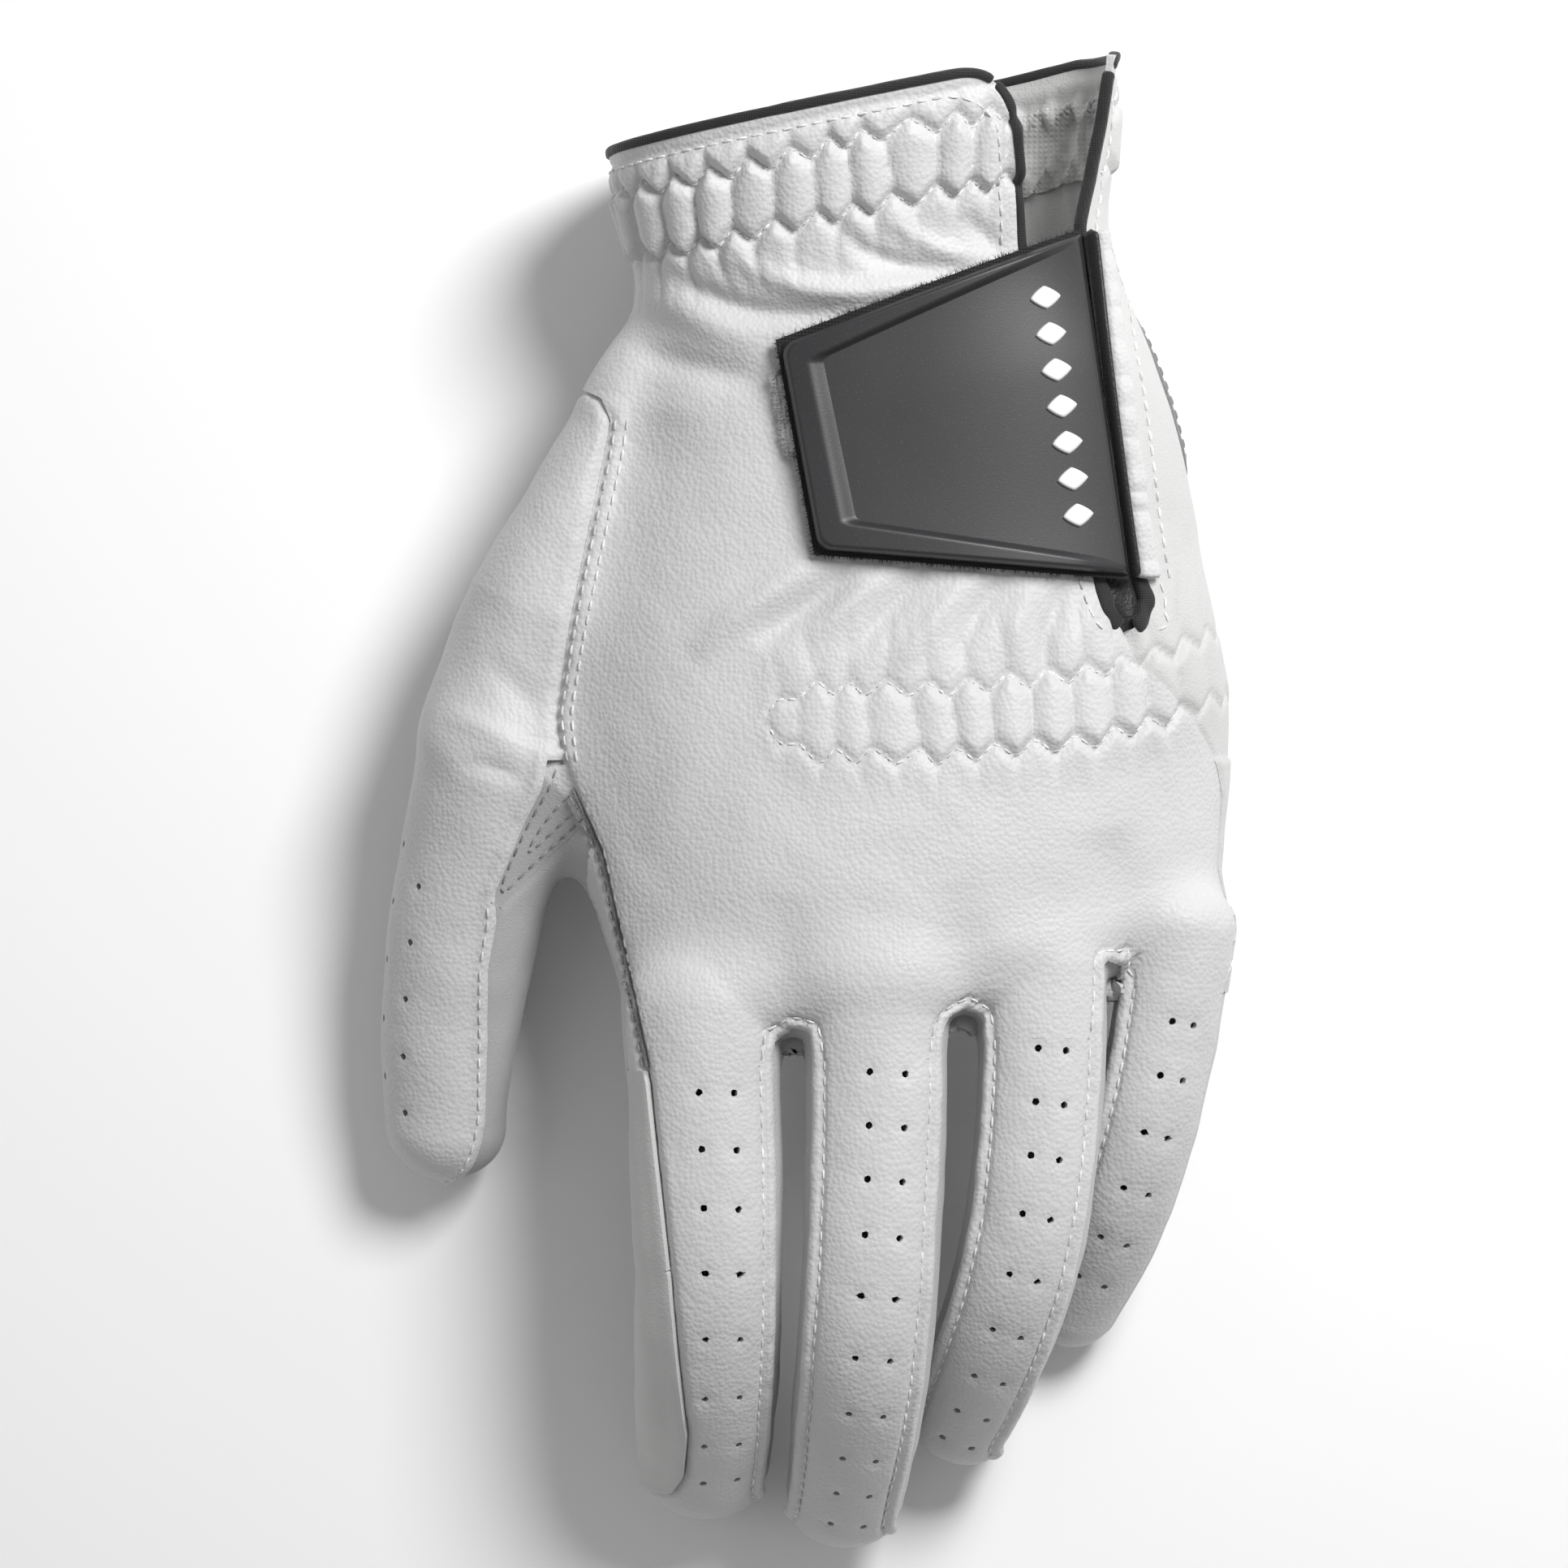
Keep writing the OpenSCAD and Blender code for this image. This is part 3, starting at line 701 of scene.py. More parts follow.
def in_mm(skin, values):
    """The values divided by their slope along the skin: near a seam, the distance from it."""
    a, b, c = (skin.p[skin.f[:, i]] for i in range(3))
    fa, fb, fc = (values[skin.f[:, i]] for i in range(3))
    face = np.cross(b - a, c - a)
    double = np.maximum(np.linalg.norm(face, axis=1), 1e-9)
    face /= double[:, None]
    slope = (fb - fa)[:, None] * np.cross(face, a - c) + (fc - fa)[:, None] * np.cross(face, b - a)
    slope = np.linalg.norm(slope, axis=1)
    total, weight = np.zeros(len(skin.p)), np.full(len(skin.p), 1e-9)
    for i in range(3):
        total += np.bincount(skin.f[:, i], slope, len(skin.p))
        weight += np.bincount(skin.f[:, i], double, len(skin.p))
    return values / np.maximum(total / weight, 0.02)


def rim(d, height=0.5, width=2.2):
    """Cross-section of a turned and stitched edge, d mm in from it."""
    t = np.clip(d / width, 0, 1)
    roll = height * np.sqrt(np.maximum(1 - (2 * t - 1) ** 2, 0))
    return np.where(d < width, roll, 0) - 0.4 * bump(d - width - 0.25, 0.45)


def tucked(d, depth, reach):
    """Leather that goes down under its neighbour as d falls to 0 and below."""
    return -depth * smooth(1 - d / reach)


def moved(skin, lift):
    """The skin with its points lifted along their normals, and its new normals kept."""
    n = skin.values["smooth_normal"]
    out = Skin(skin.p + n * lift[:, None], skin.f, **skin.values)
    out.values = dict(skin.values, normal=out.normals())
    return out


# ---------------------------------------------------------------- the hand's panels

def prepared_hand():
    """The hand's skin with every seam's distance and the relief that all its panels share."""
    skin = hand_skin()
    p = skin.p
    n = skin.normals()
    x, y = p.T[:2]
    turn = hand_turn(p)
    s, digit_turn, digit = (skin.values[k] for k in ("s", "turn", "digit"))
    start = np.array(list(STALL_START.values()))[digit.astype(int)]
    finger = digit < 4
    near_stall = smooth((s - start + 7) / 6)
    sine = np.sin(np.radians(digit_turn))
    tilt = np.where(finger, mix(n[:, 2], sine, near_stall), n[:, 2])
    between = (x > -16.2) & (x < 55.6) & (y < 0)

    # The thumb's side: the seam runs in plan on the back, and round under the silhouette at the wrist
    in_plan = x - line_x(RADIAL_LINE, y)
    radial = mix(np.minimum(in_plan, 9 * (n[:, 2] + 0.2)), 9 * (n[:, 2] + 0.12), smooth((y - 60) / 5))
    # The little finger's side, where the seam climbs to the foot of the slit
    seam_turn = mix(ULNAR_TURN, FOOT_TURN, smooth((y + 4) / (SLIT_FOOT + 4)))
    hand_side = np.radians((turn + 180) % 360 - 180 - seam_turn) * 26
    little_side = np.radians((digit_turn + 180) % 360 - 180 - ULNAR_TURN) * 8.4
    ulnar = np.where(digit == 3, mix(hand_side, little_side, smooth((s + 3) / 10)), hand_side)
    ulnar = np.where((x < 30) | (y > SLIT_FOOT), 60, ulnar)
    # The slit at the wrist
    upper = (y > SLIT_FOOT) & (n[:, 2] > -0.2)
    slit_back = np.where(upper, in_mm(skin, line_x(SLIT_LEFT, y) - x), 60)
    by_angle = np.interp(hand_share(x, y), *zip(*SLIT_TURN)) - ((turn + 180) % 360 - 180)
    in_plan_palm = in_mm(skin, x - line_x(SLIT_RIGHT, y))
    slit_palm = mix(in_plan_palm, in_mm(skin, by_angle * 0.5), smooth((y - 64) / 12))
    slit_palm = np.where((y > SLIT_FOOT) & (n[:, 2] > -0.5) & (x > 12), slit_palm, 60)

    side_back = np.where(between, in_mm(skin, (tilt - SIDE_LIMIT) * 6), 60)
    side_palm = np.where(between, in_mm(skin, (-tilt - SIDE_LIMIT) * 6), 60)
    web = np.where(between, in_mm(skin, (SIDE_LIMIT - np.abs(tilt)) * 6), -60)
    share = smooth((n[:, 2] + 0.45) / 0.9)
    thumb = np.minimum(mix(line_x(UNDER_LINE, y) - x, -in_plan, share), 62 - y)

    skin.values.update(
        smooth_normal=n, hand_turn=turn, cuff=cuff_edge(x) - y, ulnar=ulnar,
        radial=in_mm(skin, radial), thumb=in_mm(skin, thumb),
        slit_back=slit_back, slit_palm=slit_palm,
        side_back=side_back, side_palm=side_palm, web=web,
        relief=hand_relief(p, n, turn))
    return skin


def palm_field(v):
    """Positive on the palm panel."""
    beside = -np.minimum.reduce([v["radial"], v["ulnar"], v["slit_back"]])
    return np.minimum.reduce([v["cuff"], beside, v["slit_palm"], v["side_palm"], -v["thumb"]])


# ---------------------------------------------------------------- materials

def node_material(name, colour, roughness, metallic=0.0, sheen=0.0, coat=0.0):
    material = bpy.data.materials.new(name)
    material.use_nodes = True
    nodes, links = material.node_tree.nodes, material.node_tree.links
    shader = nodes["Principled BSDF"]
    shader.inputs["Base Color"].default_value = (*colour, 1)
    shader.inputs["Roughness"].default_value = roughness
    shader.inputs["Metallic"].default_value = metallic
    shader.inputs["Sheen Weight"].default_value = sheen
    shader.inputs["Coat Weight"].default_value = coat
    place = nodes.new("ShaderNodeTexCoord")
    return material, nodes, links, shader, place.outputs["Object"]


def noise_node(nodes, links, place, scale, detail=2.0, roughness=0.5):
    node = nodes.new("ShaderNodeTexNoise")
    node.inputs["Scale"].default_value = scale
    node.inputs["Detail"].default_value = detail
    node.inputs["Roughness"].default_value = roughness
    links.new(place, node.inputs["Vector"])
    return node.outputs["Fac"]


def ramp(nodes, links, source, dark, light, low=0.35, high=0.65):
    node = nodes.new("ShaderNodeValToRGB")
    node.color_ramp.elements[0].position = low
    node.color_ramp.elements[1].position = high
    node.color_ramp.elements[0].color = (*dark, 1)
    node.color_ramp.elements[1].color = (*light, 1)
    links.new(source, node.inputs["Fac"])
    return node.outputs["Color"]


def spread(nodes, links, source, low, high):
    node = nodes.new("ShaderNodeMapRange")
    node.inputs["To Min"].default_value = low
    node.inputs["To Max"].default_value = high
    links.new(source, node.inputs["Value"])
    return node.outputs["Result"]


def bump_node(nodes, links, height, strength, depth, before=None):
    node = nodes.new("ShaderNodeBump")
    node.inputs["Strength"].default_value = strength
    node.inputs["Distance"].default_value = depth
    links.new(height, node.inputs["Height"])
    if before:
        links.new(before, node.inputs["Normal"])
    return node.outputs["Normal"]


def leather_material(name, colour, grain, depth, roughness, worn=0.04):
    """Pebbled leather: rounded cells about grain mm across, faint blotches and uneven sheen."""
    material, nodes, links, shader, place = node_material(name, colour, roughness, sheen=0.12)
    shader.inputs["Specular IOR Level"].default_value = 0.35
    cells = nodes.new("ShaderNodeTexVoronoi")
    cells.feature = "SMOOTH_F1"
    cells.inputs["Scale"].default_value = 1000 / grain
    cells.inputs["Smoothness"].default_value = 0.35
    cells.inputs["Randomness"].default_value = 0.85
    wobble = nodes.new("ShaderNodeVectorMath")
    wobble.operation = "ADD"
    drift = nodes.new("ShaderNodeTexNoise")
    drift.inputs["Scale"].default_value = 300
    links.new(place, drift.inputs["Vector"])
    small = nodes.new("ShaderNodeVectorMath")
    small.operation = "SCALE"
    small.inputs["Scale"].default_value = grain * MM * 0.7
    links.new(drift.outputs["Color"], small.inputs[0])
    links.new(place, wobble.inputs[0])
    links.new(small.outputs["Vector"], wobble.inputs[1])
    links.new(wobble.outputs["Vector"], cells.inputs["Vector"])
    pebble = spread(nodes, links, cells.outputs["Distance"], 1.0, 0.0)
    fine = noise_node(nodes, links, place, 5200, 3, 0.6)
    first = bump_node(nodes, links, fine, 0.12, 0.00003)
    normal = bump_node(nodes, links, pebble, depth, 0.00022, first)
    links.new(normal, shader.inputs["Normal"])
    blotch = noise_node(nodes, links, place, 55, 4, 0.55)
    shade = ramp(nodes, links, blotch, tuple(c * (1 - worn) for c in colour), colour)
    links.new(shade, shader.inputs["Base Color"])
    rough = noise_node(nodes, links, place, 140, 3)
    links.new(spread(nodes, links, rough, roughness - 0.07, roughness + 0.1), shader.inputs["Roughness"])
    return material


def fabric_material(name, colour, pitch, depth, roughness=0.9, sheen=0.3):
    """Woven or knitted cloth: two crossing sets of threads."""
    material, nodes, links, shader, place = node_material(name, colour, roughness, sheen=sheen)
    heights = []
    for direction in ("X", "Y"):
        wave = nodes.new("ShaderNodeTexWave")
        wave.bands_direction = direction
        wave.inputs["Scale"].default_value = 314 / pitch
        wave.inputs["Distortion"].default_value = 0.6
        wave.inputs["Detail"].default_value = 1
        links.new(place, wave.inputs["Vector"])
        heights.append(wave.outputs["Fac"])
    total = nodes.new("ShaderNodeMath")
    total.operation = "MULTIPLY"
    links.new(heights[0], total.inputs[0])
    links.new(heights[1], total.inputs[1])
    fuzz = noise_node(nodes, links, place, 4000, 3)
    first = bump_node(nodes, links, fuzz, 0.4, 0.00008)
    links.new(bump_node(nodes, links, total.outputs[0], depth, 0.00015, first), shader.inputs["Normal"])
    uneven = noise_node(nodes, links, place, 240, 4)
    dark, light = tuple(c * 0.72 for c in colour), tuple(min(c * 1.15, 1) for c in colour)
    shade = ramp(nodes, links, uneven, dark, light)
    links.new(shade, shader.inputs["Base Color"])
    return material


def rubber_material(name, colour, roughness, speckle):
    """Satin moulded rubber with fine pale specks and a soft, uneven sheen."""
    material, nodes, links, shader, place = node_material(name, colour, roughness)
    shader.inputs["Specular IOR Level"].default_value = 0.5
    dots = nodes.new("ShaderNodeTexVoronoi")
    dots.inputs["Scale"].default_value = 1500
    links.new(place, dots.inputs["Vector"])
    light = tuple(min(c * (1 + speckle), 1) for c in colour)
    shade = ramp(nodes, links, dots.outputs["Distance"], light, colour, 0.06, 0.22)
    links.new(shade, shader.inputs["Base Color"])
    grain = noise_node(nodes, links, place, 3600, 2)
    links.new(bump_node(nodes, links, grain, 0.25, 0.00005), shader.inputs["Normal"])
    rough = noise_node(nodes, links, place, 90, 4)
    links.new(spread(nodes, links, rough, roughness - 0.06, roughness + 0.08), shader.inputs["Roughness"])
    return material


BACK = leather_material("back_leather", (0.61, 0.61, 0.61), 0.72, 0.55, 0.52)
PALM = leather_material("palm_leather", (0.58, 0.58, 0.576), 0.45, 0.3, 0.58)
SIDE = leather_material("side_leather", (0.50, 0.50, 0.50), 0.5, 0.35, 0.6)
INNER = leather_material("thumb_leather", (0.43, 0.43, 0.43), 0.42, 0.22, 0.62, 0.07)
ACCENT = leather_material("accent_leather", (0.20, 0.20, 0.205), 0.6, 0.4, 0.55)
BINDING = fabric_material("binding_fabric", (0.012, 0.012, 0.013), 0.35, 0.6, 0.7, 0.15)
ELASTIC = fabric_material("elastic_fabric", (0.62, 0.62, 0.61), 0.8, 0.8)
HOOK_FABRIC = fabric_material("hook_fabric", (0.012, 0.012, 0.013), 0.5, 1.0, 0.85, 0.1)
RAW_EDGE = fabric_material("raw_edge", (0.22, 0.22, 0.22), 0.3, 0.8, 0.9)
LOOP = fabric_material("loop_fabric", (0.66, 0.66, 0.66), 0.6, 1.0, 0.95, 0.6)
THREAD = fabric_material("thread", (0.78, 0.78, 0.77), 0.3, 0.5, 0.7, 0.3)
GREY_THREAD = fabric_material("grey_thread", (0.30, 0.30, 0.30), 0.3, 0.5, 0.7, 0.3)
RUBBER = rubber_material("tab_rubber", (0.026, 0.026, 0.028), 0.42, 0.9)
PANEL_RUBBER = rubber_material("panel_rubber", (0.036, 0.036, 0.038), 0.44, 0.7)
BLACK_LEATHER = leather_material("black_leather", (0.02, 0.02, 0.021), 0.5, 0.3, 0.42)
PIP = rubber_material("pip_rubber", (0.80, 0.80, 0.80), 0.4, 0.05)


# ---------------------------------------------------------------- leather of the hand

LEATHER = 1.05
SIDE_DEPTH = 0.75

hand = prepared_hand()
hv = hand.values
on_hand = hv["keep"]


def cut_piece(name, skin, lift, keep, thickness, material, body, **words):
    """Move the skin by lift, cut away what keep makes negative and give it thickness."""
    shaped = moved(skin, lift)
    shaped.values = {"normal": shaped.values["normal"], "keep": keep}
    return thickened(name, shaped.clip(keep), thickness, material, body, **words)


def puckers(p, d, pitch=2.3, height=0.16):
    """Small swellings between the stitches of a seam."""
    along = noise3(p, pitch * 0.8, 21)
    return height * along * bump(d - 1.2, 1.4)


side_edge = hv["side_back"]
radial_edge = hv["radial"]
low_back = (tucked(radial_edge, 0.85, 1.6) * (hand.p[:, 1] < 6)
            + (-0.75 * bump(radial_edge, 0.7) + 0.22 * bump(radial_edge - 1.5, 0.8)) * (hand.p[:, 1] >= 6)
            * smooth((61 - hand.p[:, 1]) / 6))
back_lift = hv["relief"] + rim(side_edge) + low_back
back_lift += puckers(hand.p, radial_edge) + puckers(hand.p, side_edge)
back_edge = np.where(hand.p[:, 1] < 5, radial_edge + 3, radial_edge)
back_corner = soft_min(hv["cuff"], hv["slit_back"], 7)
back_keep = np.minimum.reduce([back_corner, back_edge, hv["ulnar"], side_edge, on_hand])
cut_piece("back_panel", hand, back_lift, back_keep, LEATHER, BACK, "hand",
          replaces=("back_panel",), slot="back_leather")

lap = smooth(1 + radial_edge / 3) * (hand.p[:, 1] < 6) * (hand.p[:, 2] > 18)
flat_edge = mix(1, smooth((hv["slit_palm"] - 1) / 6), smooth((hand.p[:, 1] - 56) / 10))
palm_lift = hv["relief"] * flat_edge + rim(hv["side_palm"], 0.35) + 0.45 * lap
palm_lift += puckers(hand.p, hv["side_palm"])
palm_lift -= 0.4 * bump(hv["ulnar"], 0.6)
palm_lift += tucked(-hv["thumb"], 0.7, 1.4)
palm_keep = np.minimum(palm_field(hv), on_hand)
cut_piece("palm_panel", hand, palm_lift, palm_keep, LEATHER, PALM, "hand",
          replaces=("palm_panel",), slot="palm_leather")

web_keep = np.minimum.reduce([hv["web"] + 1.6, on_hand, 6 - hand.p[:, 1]])
cut_piece("finger_webs", hand, hv["relief"] - SIDE_DEPTH, web_keep, 0.8, SIDE, "hand", slot="palm_leather")


# ---------------------------------------------------------------- thumb root and gusset

# Angle of the ridge between outer and inner leather along the thumb, and of their seam underneath
RIDGE_TURN = [(0, 60), (9, 66), (18, 72), (23, 66), (31, 66), (42, 58), (55, 52), (66, 60)]
THUMB_UNDER_TURN = 250


def about_ridge(s, turn):
    """Degrees from the ridge into the inner leather, and from the seam underneath."""
    t = (turn + 110) % 360 - 110
    return np.interp(s, *zip(*RIDGE_TURN)) - t, t - (THUMB_UNDER_TURN - 360)


is_thumb = hv["digit"] > 3.5
from_ridge, from_under = about_ridge(hv["s"], hv["turn"])
x_hand, y_hand = hand.p.T[:2]
thumb_r = np.radians(12)
inner = np.where(is_thumb, np.minimum(from_ridge, from_under) * thumb_r, -60)
inner = np.minimum(inner, (6 - y_hand))
above_quirk = (y_hand + 16.8 - (x_hand + 46.7)) / math.sqrt(2)
low_side = (from_under - 50) * thumb_r
gusset = np.minimum.reduce([inner, above_quirk, low_side])
thumb_lift = hv["relief"] + tucked(hv["thumb"], 0.8, 1.8) + puckers(hand.p, hv["thumb"])

root_keep = np.minimum.reduce([hv["thumb"] + 1.2, -inner, on_hand])
root_lift = thumb_lift + 0.55 * bump(inner + 0.9, 0.9) + puckers(hand.p, -inner)
thumb_root_outer = cut_piece("thumb_root_outer", hand, root_lift, root_keep, LEATHER, BACK, None,
                             replaces=("thumb_root_outer",), slot="back_leather")
inner_keep = np.minimum.reduce([inner + 0.8, np.maximum(-above_quirk, -low_side), hv["thumb"] + 1.5, on_hand])
inner_lift = hv["relief"] - 0.25 - 0.3 * bump(above_quirk, 0.8) + tucked(hv["thumb"], 0.8, 1.8)
thumb_root_inner = cut_piece("thumb_root_inner", hand, inner_lift, inner_keep, LEATHER, INNER, None,
                             replaces=("thumb_root_inner",), slot="palm_leather")
gusset_keep = np.minimum.reduce([gusset + 0.6, hv["thumb"] + 3.5, on_hand])
gusset_lift = hv["relief"] * 0.6 - 0.75 + tucked(hv["thumb"], 0.5, 2)
thumb_gusset = cut_piece("thumb_gusset", hand, gusset_lift, gusset_keep, 0.9, INNER, None,
                         replaces=("thumb_gusset",), slot="palm_leather")
for piece in (thumb_root_outer, thumb_root_inner, thumb_gusset):
    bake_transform(piece)
gusset_skin = moved(hand, gusset_lift)


# ---------------------------------------------------------------- fingers

# Distances along each digit where its middle joint's bend starts and ends
BENDS = {"index": (38, 54), "middle": (44, 60), "ring": (38, 54), "little": (30, 46), "thumb": (30, 42)}
BASE_BEND = 15
HOLE_R = 0.58
# First hole, rows, pitch, spacing at the root and at the tip, and side shift at both
HOLES = {
    "index": (12.5, 8, 8.5, 5.4, 5.2, 1.6, 2.2), "middle": (11.9, 10, 8.0, 5.5, 5.2, 1.6, 1.2),
    "ring": (12.5, 9, 8.0, 4.2, 4.8, 1.5, 0.8), "little": (13.5, 6, 8.2, 3.4, 4.4, 2.6, 0.8),
}


def along(d, s):
    """The centre line's place at s, in metres, for a bend's start or end."""
    return tuple(float(v) * MM for v in d.at(d.centre, np.array([float(s)]))[0])


def edge_angles(name, d, s):
    """Angles of the back's right and left edges, and of the palm's left and right edges."""
    taper = smooth((d.length - s) / 11)
    limit = 32 * taper
    right, left = limit, 180 - limit
    palm_left, palm_right = 180 + limit, 360 - limit
    if name == "index":
        c, ahead, side, up, a, b = d.frame(s)
        share = (line_x(RADIAL_LINE, c[:, 1]) - c[:, 0]) / a
        near_tip = smooth((s - d.length + 13) / 8)
        left = mix(np.degrees(np.arccos(np.clip(share, -0.96, 0.96))), 168, near_tip)
        palm_left = left
    if name == "little":
        right = ULNAR_TURN + 0 * s
        palm_right = 360 + right
    return right, left, palm_left, palm_right


def holes(name, d):
    """Middles of the punched holes as distances along the digit and angles."""
    if name == "thumb":
        rows = np.arange(7)
        s = np.concatenate([3 + 8.6 * rows, 7 + 8.6 * rows[:-1]])
        return s, np.concatenate([np.full(7, 132.0), np.full(6, 166.0)])
    first, rows, pitch, wide, narrow, shift_root, shift_tip = HOLES[name]
    k = np.arange(rows)
    share = k / (rows - 1)
    s = first + pitch * k
    half = mix(wide, narrow, share) / 2
    shift = mix(shift_root, shift_tip, share)
    a = np.interp(s, d.s, d.half_w)
    turns = [np.degrees(np.arccos(np.clip((shift + sign * half) / a, -0.95, 0.95))) for sign in (-1, 1)]
    return np.concatenate([s, s + 0.3]), np.concatenate(turns)


def punched(skin, places):
    """Distance of each point from the nearest hole's edge, and the dimple round the holes."""
    nearest = np.full(len(skin.p), 9.0)
    for place in places:
        close = np.flatnonzero((np.abs(skin.p - place) < 4).all(1))
        nearest[close] = np.minimum(nearest[close], np.linalg.norm(skin.p[close] - place, axis=1))
    return nearest - HOLE_R, -0.22 * bump(nearest, 1.3)


def hole_places(name, d):
    s, turn = holes(name, d)
    return d.ring(s, turn)


def digit_names(name):
    if name == "thumb":
        return "thumb_outer", "thumb_inner", None
    plural = "sides" if name in ("middle", "ring") else "side"
    return f"{name}_back", f"{name}_palm", f"{name}_{plural}"


# Seams of each digit: skin, place along it, distance from its cut, field, stitch lines and where they show
finger_seams = {}


def build_digit(name):
    d = DIGITS[name]
    skin = stall_skin(name)
    s, turn = skin.values["s"], skin.values["turn"]
    n = skin.normals()
    skin.values["smooth_normal"] = n
    low = noise3(skin.p, 21, 7) * 0.44 + noise3(skin.p, 9, 8) * 0.24 + noise3(skin.p, 4.2, 9) * 0.1
    relief = low * smooth((d.length - s + 2) / 9)
    over = np.clip((s - d.length + d.tip_r) / d.tip_r, 0, 1)
    r = np.radians(np.interp(s, d.s, np.sqrt(d.half_w * d.half_h))) * np.sqrt(np.maximum(1 - over**2, 0.02))
    right, left, palm_left, palm_right = edge_angles(name, d, s)
    t = (turn + 90) % 360 - 90
    u = (turn - 90) % 360 + 90
    back_name, palm_name, side_name = digit_names(name)
    if name == "thumb":
        from_ridge, from_under = about_ridge(s, turn)
        inner_edge = np.minimum(from_ridge, from_under) * r
        outer_keep, inner_keep = -inner_edge, inner_edge + 0.8
        back_lift = relief + 0.55 * bump(inner_edge + 0.9, 0.9) + puckers(skin.p, -inner_edge)
        palm_lift = relief - 0.25
    else:
        right_edge, left_edge = (t - right) * r, (left - t) * r
        outer_keep = np.minimum(right_edge, left_edge)
        inner_keep = np.minimum((u - palm_left) * r, (palm_right - u) * r)
        sewn = np.minimum(right_edge, left_edge)
        if name == "index":
            sewn = right_edge
            back_lift = relief + tucked(left_edge, 0.85, 1.6) + rim(sewn)
            outer_keep = np.minimum(right_edge, left_edge + 3)
            palm_lift = relief + 0.45 * smooth(1 - (u - palm_left) * r / 3) + rim((palm_right - u) * r, 0.35)
        elif name == "little":
            sewn = left_edge
            back_lift = relief + rim(sewn) - 0.3 * bump(right_edge, 0.5)
            palm_lift = relief + rim((u - palm_left) * r, 0.35) - 0.3 * bump((palm_right - u) * r, 0.5)
        else:
            back_lift = relief + rim(sewn)
            palm_lift = relief + rim(inner_keep, 0.35)
        back_lift = back_lift + puckers(skin.p, sewn)
    edge, dimple = punched(skin, hole_places(name, d))
    back_lift = back_lift + dimple
    start = s - stall_cut(name, turn)
    bend_start = BENDS[name][0]
    parts = {
        back_name: (back_lift, np.minimum(outer_keep, edge), LEATHER, BACK, "back_leather"),
        palm_name: (palm_lift, inner_keep, LEATHER, INNER if name == "thumb" else PALM, "palm_leather"),
    }
    if side_name:
        inside = [(right + 0 * s - np.abs((turn + 180) % 360 - 180)) * r] if name != "little" else []
        if name != "index":
            inside.append((180 - left - np.abs(turn - 180)) * r)
        side_keep = np.maximum.reduce(inside) + 1.6
        side_keep = np.minimum(side_keep, (d.length - 7 - s))
        parts[side_name] = (relief - SIDE_DEPTH, side_keep, 0.8, SIDE, "palm_leather")
    for part_name, (lift, keep, thickness, material, slot_name) in parts.items():
        shaped = moved(skin, lift)
        for half in ("base", "tip"):
            here = np.minimum(start, bend_start - s) if half == "base" else s - bend_start
            piece_keep = np.minimum(keep, here)
            shaped.values = {"normal": shaped.values["normal"]}
            node = f"{part_name}_{half}"
            obj = thickened(node, shaped.clip(piece_keep), thickness, material, None,
                            replaces=(node,), slot=slot_name)
            bend_digit(obj, name, half)
    shaped = moved(skin, back_lift)
    if name == "thumb":
        rows = [(outer_keep, (1.3,), start + 1)]
    elif name == "index":
        beside_raw = np.minimum(d.length - 6 - s, np.abs(t - 90) - 12)
        rows = [(right_edge, (2.4,), outer_keep), ((u - palm_left) * r, (0.8, 3.3), beside_raw)]
    else:
        rows = [(sewn, (2.4,), outer_keep)]
    finger_seams[name] = [(shaped, s, start, field, levels, inside) for field, levels, inside in rows]


def bend_digit(obj, name, half):
    """Bake the piece's transform; the places of its bend, at the digit's base knuckle or middle joint, are
    looked up but the piece is not bent.
    """
    d = DIGITS[name]
    if half == "tip":
        along(d, BENDS[name][0])
        along(d, BENDS[name][1])
        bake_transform(obj)
    elif name == "thumb":
        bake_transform(obj)
    else:
        start = STALL_START[name]
        along(d, start)
        along(d, start + BASE_BEND)
        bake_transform(obj)


for digit_name in DIGITS:
    build_digit(digit_name)
# ---------------------------------------------------------------- lines on the leather, and thread

def contour(skin, field, level, inside, gap=1.5):
    """Lines on the skin where the field has the level and inside is positive, as (points, normals)."""
    part = Skin(skin.p, skin.f, normal=skin.values["normal"], g=field - level, inside=inside)
    part = part.clip(field - level)
    on_line = np.abs(part.values["g"]) < 1e-6
    on_line &= part.values["inside"] > 0
    edges = part.rim()
    edges = edges[on_line[edges].all(1)]
    after = dict(map(tuple, edges.tolist()))
    starts = [a for a in after if a not in set(after.values())] or list(after)[:1]
    lines = []
    while after:
        place = starts.pop() if starts else next(iter(after))
        chain = [place]
        while place in after:
            place = after.pop(place)
            chain.append(place)
        if len(chain) > 8:
            points = part.p[chain]
            lines.append((points, part.values["normal"][chain]))
    return [even_line(*line) for line in lines if line_length(line[0]) > gap]


def line_length(points):
    return np.linalg.norm(np.diff(points, axis=0), axis=1).sum()


def even_line(points, normals, step=0.4):
    """The line resampled at even steps and lightly smoothed."""
    place = np.concatenate([[0], np.cumsum(np.linalg.norm(np.diff(points, axis=0), axis=1))])
    wanted = np.linspace(0, place[-1], max(int(place[-1] / step), 2))
    out = [np.stack([np.interp(wanted, place, t[:, i]) for i in range(3)], 1) for t in (points, normals)]
    for table in out:
        for _ in range(3):
            table[1:-1] = (table[:-2] + 2 * table[1:-1] + table[2:]) / 4
    return out[0], unit(out[1])


